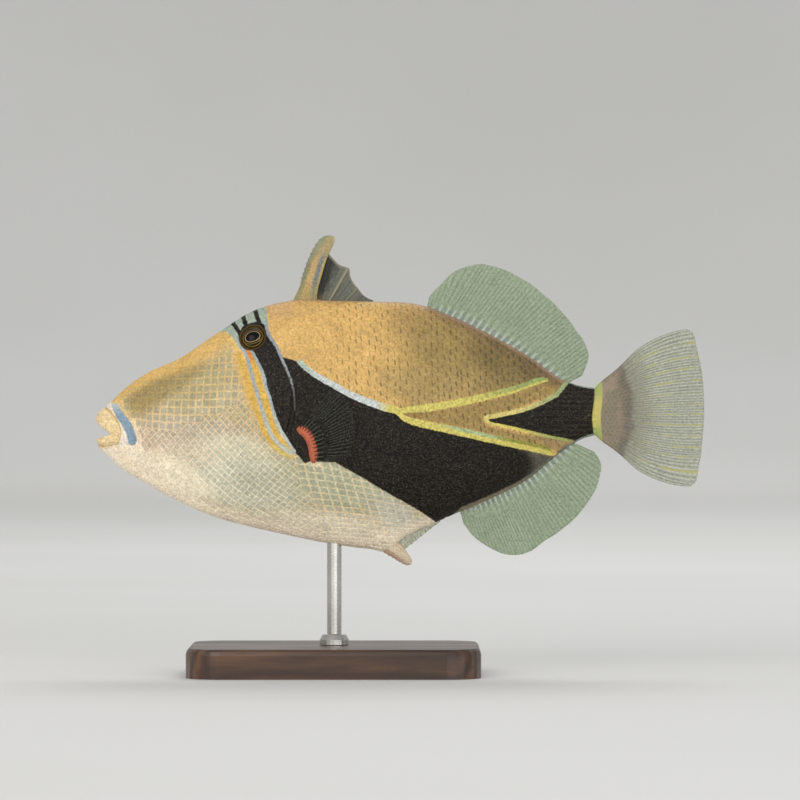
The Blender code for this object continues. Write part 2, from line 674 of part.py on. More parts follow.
def head():
    """From the lips to the gill slit, with sockets for the eyes."""
    obj = loft("head", [ring(t) for t in (*LIP_STATIONS, *HEAD_STATIONS, HEAD_END - GAP / 2)])
    raised, cutters = teeth(), []
    for side in (-1, 1):
        socket, out = eye_centre(side, EYE_SUNK)
        rim, _ = eye_centre(side, 0.2)
        raised.append(torus("orbit_rim", rim, out, EYE_RADIUS + 0.1, ORBIT_RIM))
        cutters.append(ellipsoid("socket", socket, out, EYE_RADIUS + GAP, EYE_DEPTH + GAP))
        cutters.append(gill_cutter(side))
        for x, z in NOSTRILS:
            spot, away = on_flank(x, z, side), flank_normal(x, z, side)
            raised.append(dome("nostril", spot, away, NOSTRIL_RADIUS, 0.6, 8, 0.8))
            cutters.append(dome("nostril_bore", spot, away, NOSTRIL_BORE, 1.5, 6, 0.8))
    combine(obj, "UNION", raised)
    combine(obj, "DIFFERENCE", cutters)
    keep_largest(obj)
    return finish(obj, (0.66, 0.55, 0.32), 0.5)


def scutes(side):
    """The enlarged bony scales just behind the gill slit."""
    found = []
    for k in range(SCUTE_COUNT):
        x, z = SCUTE_AT[0] + SCUTE_STEP[0] * (k % 2), SCUTE_AT[1] + SCUTE_STEP[1] * k
        spot, out = on_flank(x, z, side), flank_normal(x, z, side)
        found.append(dome("scute", spot, out, SCUTE_RADIUS, 0.7, 6, 0.8, 2))
    return found


def trunk():
    """From the gill slit to the tail stalk."""
    obj = loft("trunk", [ring(t) for t in (HEAD_END + GAP / 2, *TRUNK_STATIONS, TRUNK_END - GAP / 2)])
    combine(obj, "UNION", scutes(-1) + scutes(1))
    combine(obj, "DIFFERENCE", [gill_cutter(-1), gill_cutter(1)])
    keep_largest(obj)
    return finish(obj, (0.3, 0.24, 0.12), 0.5)


def thorn(x, z, side):
    """A small spine on the tail stalk, hooked towards the head."""
    out = flank_normal(x, z, side)
    ahead = Vector((-1, 0, 0))
    up = out.cross(ahead).normalized()
    here = on_flank(x, z, side)
    foot = [here - out * 0.6 + ahead * u * THORN_LENGTH * 0.5 + up * v * 0.5
            for u, v in ((1, 0), (0, 1), (-1, 0), (0, -1))]
    tip = here + out * THORN_HEIGHT + ahead * THORN_LENGTH * 0.75
    return mesh_object("thorn", [*foot, tip], [(0, 1, 2, 3), (0, 1, 4), (1, 2, 4), (2, 3, 4), (3, 0, 4)])


def tail_stalk():
    """The narrow part before the tail fin, with its rows of small spines on each side."""
    obj = loft("tail_stalk", [ring(t) for t in (TRUNK_END + GAP / 2, *TAIL_STATIONS, TAIL_END)])
    thorns = [thorn(x + THORN_STEP * k, z + (7.6 - z) * 0.05 * k, side)
              for side in (-1, 1) for x, z in THORN_ROWS for k in range(THORNS_IN_ROW)]
    combine(obj, "UNION", thorns)
    keep_largest(obj)
    return finish(obj, (0.04, 0.035, 0.03), 0.5)


def eye(side):
    centre, out = eye_centre(side, EYE_SUNK)
    name = "eye_left" if side < 0 else "eye_right"
    return finish(ellipsoid(name, centre, out, EYE_RADIUS, EYE_DEPTH), (0.16, 0.08, 0.03), 0.15)


# The stand


def oblong(length, width, corner, height, steps=6):
    """A rounded oblong outline round the rod, at a height in the fish's frame."""
    points = []
    for quarter, (sx, sy) in enumerate(((1, 1), (-1, 1), (-1, -1), (1, -1))):
        cx, cy = sx * (length / 2 - corner), sy * (width / 2 - corner)
        for k in range(steps + 1):
            angle = math.pi / 2 * (quarter + k / steps)
            points.append((ROD_X + cx + corner * math.cos(angle), cy + corner * math.sin(angle), height))
    return points


def stand_base():
    floor, top = -MOUTH_HEIGHT, -MOUTH_HEIGHT + BASE_HEIGHT
    inset = 2 * BASE_EDGE
    rings = [oblong(BASE_LENGTH, BASE_WIDTH, BASE_CORNER, floor),
             oblong(BASE_LENGTH, BASE_WIDTH, BASE_CORNER, top - BASE_EDGE * 1.6),
             oblong(BASE_LENGTH - inset * 0.3, BASE_WIDTH - inset * 0.3, BASE_CORNER, top - BASE_EDGE * 0.6),
             oblong(BASE_LENGTH - inset, BASE_WIDTH - inset, BASE_CORNER - BASE_EDGE, top)]
    return finish(loft("stand_base", rings), (0.1, 0.05, 0.025), 0.35)


def turned(name, profile, sides=24):
    """A round piece about the rod's axis, from (radius, height) pairs."""
    rings = [[(ROD_X + r * math.cos(a), r * math.sin(a), z) for a in np.arange(sides) * 2 * math.pi / sides]
             for r, z in profile]
    return loft(name, rings)


def stand_ferrule():
    low = -MOUTH_HEIGHT + BASE_HEIGHT + GAP
    profile = ((FERRULE_RADIUS, low), (FERRULE_RADIUS, low + FERRULE_HEIGHT * 0.5),
               (FERRULE_RADIUS * 0.8, low + FERRULE_HEIGHT))
    return finish(turned("stand_ferrule", profile), (0.55, 0.54, 0.52), 0.3, 1.0)


def stand_rod():
    low = -MOUTH_HEIGHT + BASE_HEIGHT + FERRULE_HEIGHT + 2 * GAP
    inside = float(smooth(BOTTOM_LINE, ROD_X)[1]) + 4.0
    obj = turned("stand_rod", ((ROD_RADIUS, low), (ROD_RADIUS, inside)), 16)
    combine(obj, "DIFFERENCE", [grown_body()])
    keep_largest(obj)
    return finish(obj, (0.55, 0.54, 0.52), 0.3, 1.0)


def main():
    for old in list(bpy.data.objects):
        bpy.data.objects.remove(old)
    head()
    trunk()
    tail_stalk()
    for side in (-1, 1):
        eye(side)
        pectoral_fin(side)
    trigger_spine()
    spiny_dorsal_fin()
    soft_dorsal_fin()
    anal_fin()
    caudal_fin()
    pelvic_spine()
    pelvic_flap()
    stand_base()
    stand_ferrule()
    stand_rod()


main()
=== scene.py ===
import math

import bpy
import numpy as np
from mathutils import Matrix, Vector


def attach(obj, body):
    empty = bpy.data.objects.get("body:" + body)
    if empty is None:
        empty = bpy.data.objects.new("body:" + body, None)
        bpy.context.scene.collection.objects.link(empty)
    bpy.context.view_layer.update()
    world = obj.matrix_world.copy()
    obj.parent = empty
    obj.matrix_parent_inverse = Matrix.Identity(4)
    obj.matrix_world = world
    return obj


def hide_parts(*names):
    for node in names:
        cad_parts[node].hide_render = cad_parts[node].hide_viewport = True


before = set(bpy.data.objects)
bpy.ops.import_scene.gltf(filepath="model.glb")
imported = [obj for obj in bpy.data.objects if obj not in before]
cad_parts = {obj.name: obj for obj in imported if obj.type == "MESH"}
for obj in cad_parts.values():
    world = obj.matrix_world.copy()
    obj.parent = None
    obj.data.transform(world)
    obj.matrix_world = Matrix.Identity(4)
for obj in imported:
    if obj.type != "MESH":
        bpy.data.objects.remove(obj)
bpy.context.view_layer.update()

# A life-size reef triggerfish on its stand. Sizes are millimetres in the fish's own frame: x runs back
# from the snout tip, z up from the line of the mouth, and y is 0 on the middle plane, left side negative.

fullTurn = 2 * math.pi
stand = {"rodX": 98.0, "mouthHeight": 100.0, "metre": 0.001}


def onStand(points):  # from the fish's frame to the CAD frame, in metres
    return (np.asarray(points, float) + (-stand["rodX"], 0.0, stand["mouthHeight"])) * stand["metre"]


# Curves


def smoothCurve(keys, at):  # the smooth curve through keys, each (position, value, ...)
    keys = np.asarray(keys, float)
    knots, values = keys[:, 0], keys[:, 1:]
    step = np.diff(knots)[:, None]
    slope = np.diff(values, axis=0) / step
    tangent = np.empty_like(values)
    tangent[1:-1] = (slope[:-1] * step[1:] + slope[1:] * step[:-1]) / (step[:-1] + step[1:])
    longEnough = len(keys) > 2
    tangent[0] = 1.5 * slope[0] - 0.5 * tangent[1] if longEnough else slope[0]
    tangent[-1] = 1.5 * slope[-1] - 0.5 * tangent[-2] if longEnough else slope[-1]
    at = np.asarray(at, float)
    where = at.ravel()
    i = np.clip(np.searchsorted(knots, where) - 1, 0, len(knots) - 2)
    h = step[i]
    u = (where[:, None] - knots[i, None]) / h
    found = (
        (2 * u**3 - 3 * u**2 + 1) * values[i]
        + (u**3 - 2 * u**2 + u) * h * tangent[i]
        + (3 * u**2 - 2 * u**3) * values[i + 1]
        + (u**3 - u**2) * h * tangent[i + 1]
    )
    return found.reshape(at.shape + (values.shape[1],))


def levelCurve(keys, at):  # a smooth curve of one value, level beyond its ends
    return smoothCurve(keys, np.clip(at, keys[0][0], keys[-1][0]))[..., 0]


def straightCurve(keys, at):
    return np.interp(at, *zip(*keys))


def ramp(value, low, high):  # 0 at low, 1 at high, and smooth between
    u = np.clip((np.asarray(value, float) - low) / (high - low), 0, 1)
    return u * u * (3 - 2 * u)


def hump(value, middle, width):
    return np.exp(-(((value - middle) / width) ** 2))


def unit(vectors):
    return vectors / np.maximum(np.linalg.norm(vectors, axis=-1, keepdims=True), 1e-9)


# The body's form

body = {
    "throat": -8.0,
    "end": 205.6,
    "topLine": (
        (-8, 9.5, 1.2), (-5.5, 6.4, 2.7), (-3, 3.6, 3.3), (-1.5, 2.2, 3.1), (0, 0.9, 2.8), (2, 0.0, 4.7),
        (4, 1.0, 7.4), (6, 3.4, 9.5), (7.5, 5.9, 11.7), (10, 9.9, 15.6), (20, 20, 23.2), (34.5, 34.5, 30.0),
        (49.3, 49.3, 39.9), (64.1, 64.1, 49.1), (79, 79, 53.4), (93.7, 93.7, 53.6), (113.5, 113.5, 53.2),
        (133.2, 133.2, 51.9), (148, 148, 46.5), (162.8, 162.8, 39.3), (177.6, 177.6, 31.0),
        (192.4, 192.4, 20.9), (199, 199, 18.7), (205.6, 205.6, 17.7),
    ),
    "sideLine": (
        (-8, 10.0, 1.8, -1.0), (-5.5, 8.7, 2.8, -1.1), (-3, 7.7, 3.5, -1.2), (0, 6.6, 4.4, -1.2),
        (2, 6.3, 5.2, -1.2), (4, 7.2, 6.3, -1.1), (6, 8.9, 6.8, -0.8), (7.5, 10.2, 6.8, -0.6),
        (10, 12.6, 7.7, -0.2), (20, 20, 9.4, 0.8), (34.5, 34.5, 12.2, 1.8), (49.3, 49.3, 14.9, 3.2),
        (64.1, 64.1, 17.2, 4.8), (79, 79, 18.9, 5.5), (93.7, 93.7, 19.4, 5.0), (113.5, 113.5, 18.8, 5.0),
        (133.2, 133.2, 16.5, 6.5), (148, 148, 14.1, 7.0), (162.8, 162.8, 11.2, 6.8),
        (177.6, 177.6, 8.2, 6.6), (192.4, 192.4, 5.5, 7.0), (205.6, 205.6, 4.2, 8.0),
    ),
    "bottomLine": (
        (-8, 9.5, -2.8), (-5.5, 6.4, -3.8), (-3, 3.6, -4.2), (-1.5, 2.2, -4.0), (0, 0.9, -3.5),
        (2, 0.1, -4.6), (4, 1.4, -6.9), (6, 3.9, -9.3), (7.5, 6.0, -11.3), (10, 9.9, -14.8),
        (20, 20, -21.1), (34.5, 34.5, -29.2), (49.3, 49.3, -35.4), (64.1, 64.1, -39.5), (79, 79, -42.8),
        (93.7, 93.7, -45.8), (106, 106, -47.0), (113.5, 113.5, -46.9), (120, 120, -45.6),
        (126, 126, -43.7), (133.2, 133.2, -40.5), (148, 148, -33.9), (162.8, 162.8, -27.7),
        (177.6, 177.6, -19.9), (192.4, 192.4, -7.8), (199, 199, -3.7), (205.6, 205.6, -1.6),
    ),
    "upperPower": ((-8, 1.0), (20, 0.95), (64, 0.8), (93, 0.9), (133, 1.0), (178, 1.0), (205.6, 0.85)),
    "lowerPower": ((-8, 1.0), (20, 1.0), (64, 0.95), (100, 1.0), (133, 1.1), (178, 1.05), (205.6, 0.85)),
    "collar": ((79, 0.0), (83, 0.5), (86.5, 0.8), (90.5, 0.6), (94, 0.0)),
    "collarPower": 60,
    "keel": ((96, 0.0), (106, 0.8), (113.5, 1.7), (118.5, 3.6), (121.5, 3.5), (125, 0.9), (129.5, 0.0)),
    "keelPower": 12,
}


def bodyPoint(t, angle):  # the outside of the scales at station t; angle 0 is the top, and left is positive
    t, angle = np.broadcast_arrays(np.asarray(t, float), np.asarray(angle, float))
    top, side, bottom = (smoothCurve(body[line], t) for line in ("topLine", "sideLine", "bottomLine"))
    share, across = np.cos(angle), np.sin(angle)
    upper = share >= 0
    end = np.where(upper[..., None], top, bottom)
    power = np.where(upper, straightCurve(body["upperPower"], t), straightCurve(body["lowerPower"], t))
    away = np.where(upper, levelCurve(body["collar"], t) * share ** body["collarPower"],
                    -levelCurve(body["keel"], t) * share ** body["keelPower"])
    reach = np.abs(share)
    return np.stack([
        side[..., 0] + (end[..., 0] - side[..., 0]) * reach,
        -np.sign(across) * side[..., 1] * np.abs(across) ** power,
        side[..., 2] + (end[..., 1] + away - side[..., 2]) * reach,
    ], axis=-1)


def bodyNormal(t, angle):
    along = bodyPoint(t + 0.15, angle) - bodyPoint(t - 0.15, angle)
    around = bodyPoint(t, angle + 0.01) - bodyPoint(t, angle - 0.01)
    return unit(np.cross(around, along))


def flankAngle(x, z):  # the angle of the spot that shows at (x, z) from the side, for x from 20 on
    top, side, bottom = (smoothCurve(body[line], x) for line in ("topLine", "sideLine", "bottomLine"))
    high = z >= side[..., 2]
    reach = np.where(high, top[..., 1] - side[..., 2], side[..., 2] - bottom[..., 1])
    return np.arccos(np.clip((z - side[..., 2]) / reach, -1, 1))


def flankSpot(x, z):  # (point, outward normal) on the left side
    angle = flankAngle(np.asarray(x, float), np.asarray(z, float))
    return bodyPoint(x, angle), bodyNormal(x, angle)


# Folds of the head: eye rims, nostrils, gill slit and lips

head = {
    "eyeAt": (64.8, 38.4),
    "eyeRadius": 5.0,
    "eyeDepth": 3.9,
    "eyeSunk": 1.9,
    "eyeRim": 5.35,
    "rimHeight": 0.72,
    "nostrils": ((57.4, 41.6), (55.2, 39.0)),
    "nostrilRadius": 0.85,
    "gillSlit": ((81.8, 18.9), (81.6, 12.0), (80.8, 5.0), (78.5, -2.1)),
    "lipEdge": ((-2.5, 12.7), (1.6, 11.9), (4.7, 9.0), (8.0, 5.7), (10.2, 1.8), (10.6, -1.5), (9.4, -5.3),
                (5.8, -5.9), (3.0, -6.2), (0.4, -4.9), (-3.3, -3.7)),
    "bareFace": ((-6.6, 21.0), (6.6, 14.0), (10.7, 11.1), (14.4, 7.0), (17.3, 2.1), (18.5, -3.7),
                 (18.1, -8.6), (14.8, -12.7), (9.9, -16.0), (-6.6, -16.0)),
    "skinDepth": 0.2,  # how far the skin lies under the tops of the scales
}
eyeSpot, eyeOut = flankSpot(*head["eyeAt"])


def lineField(x, z, line, half, smoothing=3, far=12.0):  # mm to the edge of a stripe, under 0 inside
    line = np.asarray(line, float)
    order = np.arange(len(line))
    at = np.linspace(0, order[-1], order[-1] * smoothing + 1)
    fine = smoothCurve(np.column_stack([order, line]), at)
    halves = np.interp(at, order, np.broadcast_to(half, len(line)))
    field = np.full(x.shape, far)
    low, high = fine.min(0) - far, fine.max(0) + far
    near = np.flatnonzero((x > low[0]) & (x < high[0]) & (z > low[1]) & (z < high[1]))
    px, pz, best = x[near], z[near], field[near]
    for (x0, z0), (x1, z1), h0, h1 in zip(fine, fine[1:], halves, halves[1:]):
        dx, dz = x1 - x0, z1 - z0
        u = np.clip(((px - x0) * dx + (pz - z0) * dz) / (dx * dx + dz * dz), 0, 1)
        best = np.minimum(best, np.hypot(px - x0 - u * dx, pz - z0 - u * dz) - h0 - (h1 - h0) * u)
    field[near] = best
    return field


def areaField(x, z, outline, far=12.0):  # the same for a patch
    corners = np.asarray(outline, float)
    after = np.roll(corners, -1, axis=0)
    field = np.full(x.shape, far)
    low, high = corners.min(0) - far, corners.max(0) + far
    near = np.flatnonzero((x > low[0]) & (x < high[0]) & (z > low[1]) & (z < high[1]))
    px, pz = x[near], z[near]
    best, inside = field[near], np.zeros(len(near), bool)
    for (x0, z0), (x1, z1) in zip(corners, after):
        dx, dz = x1 - x0, z1 - z0
        u = np.clip(((px - x0) * dx + (pz - z0) * dz) / (dx * dx + dz * dz), 0, 1)
        best = np.minimum(best, np.hypot(px - x0 - u * dx, pz - z0 - u * dz))
        if z0 != z1:
            inside ^= ((z0 > pz) != (z1 > pz)) & (px < x0 + (pz - z0) * dx / (z1 - z0))
    field[near] = np.where(inside, -best, best)
    return field


def stack(*parts):
    return np.stack(np.broadcast_arrays(*parts), -1)


def fromAxis(spots, start, out):  # (distance from an axis, distance along it)
    off = spots - start
    along = off @ out
    return np.linalg.norm(off - along[..., None] * out, axis=-1), along


def foldHeight(spots):  # how far the folds lift the skin, the same on both sides
    shape = spots.shape[:-1]
    spots = spots.reshape(-1, 3).copy()
    spots[:, 1] = -np.abs(spots[:, 1])
    x, z = spots[:, 0], spots[:, 2]
    lift = np.zeros(len(spots))
    near = np.flatnonzero(np.hypot(x - head["eyeAt"][0], z - head["eyeAt"][1]) < 13)
    if len(near):
        away, _ = fromAxis(spots[near], eyeSpot, eyeOut)
        turn = np.arctan2(z[near] - eyeSpot[2], x[near] - eyeSpot[0])
        pleat = 0.06 * np.cos(26 * turn) * hump(away, 6.9, 0.8)
        rim = head["rimHeight"] * hump(away, head["eyeRim"], 0.5)
        fold = 0.26 * hump(away, 7.5, 0.55) - 0.2 * hump(away, 6.4, 0.4) - 0.12 * hump(away, 8.6, 0.5)
        pit = -2.6 * (1 - ramp(away, 3.9, 4.9))
        lift[near] += rim + fold + pleat + pit
        for at in head["nostrils"]:
            spot, out = flankSpot(*at)
            away, _ = fromAxis(spots[near], spot, out)
            lift[near] += 0.5 * hump(away, head["nostrilRadius"], 0.26) - 1.1 * hump(away, 0, 0.42)
    slit = lineField(x, z, head["gillSlit"], 0, far=6)
    ends = ramp(z, -3.2, 0.5) * (1 - ramp(z, 17.0, 19.8))
    lift += (-1.3 * hump(slit, 0, 0.5) + 0.28 * hump(slit, 1.25, 0.5)) * ends
    lip = areaField(x, z, head["lipEdge"], far=5)
    front = 1 - ramp(x, 13, 15)
    grooves = 0.07 * np.cos(np.arctan2(z + 0.8, 14 - x) * 46) * (1 - ramp(lip, -1.2, 0.0))
    lift += front * (0.32 * hump(lip, -1.0, 0.9) - 0.5 * hump(lip, 0.1, 0.4) + 0.2 * hump(lip, 1.4, 0.8)
                     + grooves)
    return lift.reshape(shape)


def skinDepth(spots):  # nothing on the bare lips and the strip behind them
    shape = spots.shape[:-1]
    spots = spots.reshape(-1, 3)
    bare = areaField(spots[:, 0], spots[:, 2], head["bareFace"], far=6)
    return (head["skinDepth"] * ramp(bare, -0.8, 1.4)).reshape(shape)


# Making pieces


def makePiece(name, spots, faces, finish, slot, fields=None, flat=None, cornerFlat=None, standsFor=()):
    mesh = bpy.data.meshes.new(name)
    corners = np.concatenate([some.ravel() for some in faces]).astype(np.int32)
    sides = np.concatenate([np.full(len(some), some.shape[1]) for some in faces])
    mesh.vertices.add(len(spots))
    mesh.vertices.foreach_set("co", onStand(spots).astype(np.float32).ravel())
    mesh.loops.add(len(corners))
    mesh.loops.foreach_set("vertex_index", corners)
    mesh.polygons.add(len(sides))
    mesh.polygons.foreach_set("loop_start", (np.cumsum(sides) - sides).astype(np.int32))
    mesh.polygons.foreach_set("use_smooth", np.ones(len(sides), bool))
    mesh.update(calc_edges=True)
    for label, values in {"spot": spots, **(fields or {})}.items():
        values = np.asarray(values, np.float32)
        single = values.ndim == 1
        layer = mesh.attributes.new(label, "FLOAT" if single else "FLOAT_VECTOR", "POINT")
        layer.data.foreach_set("value" if single else "vector", values.ravel())
    if flat is not None or cornerFlat is not None:
        layer = mesh.uv_layers.new(name="OFBake")
        values = cornerFlat if cornerFlat is not None else flat[corners]
        layer.uv.foreach_set("vector", values.astype(np.float32).ravel())
    mesh.materials.append(finish)
    piece = bpy.data.objects.new(name, mesh)
    bpy.context.scene.collection.objects.link(piece)
    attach(piece, "root")
    if standsFor:
        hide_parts(*standsFor)
    return piece


def gridFaces(wide, high, offset=0, closed=False, turned=False):  # quads over a grid of points
    at = np.arange(wide * high).reshape(wide, high) + offset
    if closed:
        at = np.vstack([at, at[:1]])
    quads = np.stack([at[:-1, :-1], at[1:, :-1], at[1:, 1:], at[:-1, 1:]], axis=-1).reshape(-1, 4)
    return quads[:, ::-1] if turned else quads


def sheetFaces(wide, high):  # a closed skin over a front grid and, numbered after it, a back grid
    count = wide * high
    at = np.arange(count).reshape(wide, high)
    edge = np.concatenate([at[:, 0], at[-1, 1:], at[-2::-1, -1], at[0, -2:0:-1]])
    after = np.roll(edge, -1)
    rim = np.stack([after, edge, edge + count, after + count], axis=-1)
    return [gridFaces(wide, high), gridFaces(wide, high, count, turned=True), rim]


def ringTurns(count):
    return np.arange(count) * fullTurn / count


def ringGrid(rings, count):  # the points' numbers, their neighbours' and the quads between closed rings
    at = np.arange(rings * count).reshape(rings, count)
    after = np.roll(at, -1, axis=1)
    return at, after, np.stack([at[:-1], after[:-1], after[1:], at[1:]], axis=-1).reshape(-1, 4)


def fan(edge, after, point):  # triangles from the edge of a ring to one point
    return np.stack([edge, after, np.full(len(edge), point)], -1)


def turnedOut(spots, faces, quad, out):  # the faces, turned over where this quad looks inward
    a, b, c = spots[quad[:3]]
    return [some[:, ::-1] for some in faces] if np.dot(np.cross(b - a, c - a), out) < 0 else faces


def joinShapes(shapes):  # many (spots, faces, ...) into one
    spots, faces, start = [], [], 0
    for shape in shapes:
        spots.append(shape[0])
        faces += [some + start for some in shape[1]]
        start += len(shape[0])
    return np.concatenate(spots), faces


# Shader nodes


class Board:  # lays nodes on one tree and links them
    def __init__(self, tree):
        self.tree = tree

    def add(self, kind, inputs=(), **settings):
        node = self.tree.nodes.new("ShaderNode" + kind)
        for label, value in settings.items():
            setattr(node, label, value)
        for label, value in dict(inputs).items():
            self.feed(node.inputs[label], value)
        return node

    def feed(self, socket, value):
        if isinstance(value, bpy.types.NodeSocket):
            self.tree.links.new(value, socket)
        elif socket.type == "RGBA" and len(value) == 3:
            socket.default_value = (*value, 1)
        else:
            socket.default_value = value

    def sum(self, operation, a, b=0.0, c=0.0):
        return self.add("Math", {0: a, 1: b, 2: c}, operation=operation).outputs[0]

    def plus(self, a, b):
        return self.sum("ADD", a, b)

    def minus(self, a, b):
        return self.sum("SUBTRACT", a, b)

    def times(self, a, b):
        return self.sum("MULTIPLY", a, b)

    def gap(self, a, b):
        return self.sum("ABSOLUTE", self.minus(a, b))

    def parts(self, vector):
        return self.add("SeparateXYZ", {0: vector}).outputs

    def spread(self, value, low, high, atLow=0.0, atHigh=1.0, kind="SMOOTHSTEP"):
        values = {0: value, 1: low, 2: high, 3: atLow, 4: atHigh}
        return self.add("MapRange", values, interpolation_type=kind).outputs[0]

    def blend(self, share, under, over):
        return self.add("Mix", {0: share, 6: under, 7: over}, data_type="RGBA").outputs[2]

    def scale(self, colour, by):
        return self.add("VectorMath", {0: colour, "Scale": by}, operation="SCALE").outputs[0]

    def stretch(self, where, *by):
        return self.add("Mapping", {"Vector": where, "Scale": by}).outputs[0]

    def field(self, label):
        return self.add("Attribute", attribute_name=label).outputs["Fac"]

    def vector(self, label):
        return self.add("Attribute", attribute_name=label).outputs["Vector"]

    def noise(self, where, scale, detail=2.0, rough=0.5):
        node = self.add("TexNoise", {"Vector": where, "Scale": scale, "Detail": detail, "Roughness": rough})
        return node.outputs["Fac"]

    def use(self, group, inputs=()):
        node = self.add("Group", node_tree=group)
        for label, value in dict(inputs).items():
            self.feed(node.inputs[label], value)
        return node


def newGroup(name, inputs, outputs):  # (its board, its input sockets, its output node)
    group = bpy.data.node_groups.new(name, "ShaderNodeTree")
    for label, value in inputs.items():
        kind = "NodeSocketColor" if isinstance(value, tuple) else "NodeSocketFloat"
        socket = group.interface.new_socket(name=label, in_out="INPUT", socket_type=kind)
        socket.default_value = (*value, 1) if isinstance(value, tuple) else value
    for label, kind in outputs.items():
        group.interface.new_socket(name=label, in_out="OUTPUT", socket_type="NodeSocket" + kind)
    return Board(group), group.nodes.new("NodeGroupInput").outputs, group.nodes.new("NodeGroupOutput")


def paint(red, green, blue):  # a colour as it looks on screen, as light values
    return tuple(c / 12.92 if c <= 0.04045 else ((c + 0.055) / 1.055) ** 2.4 for c in (red, green, blue))


# Markings

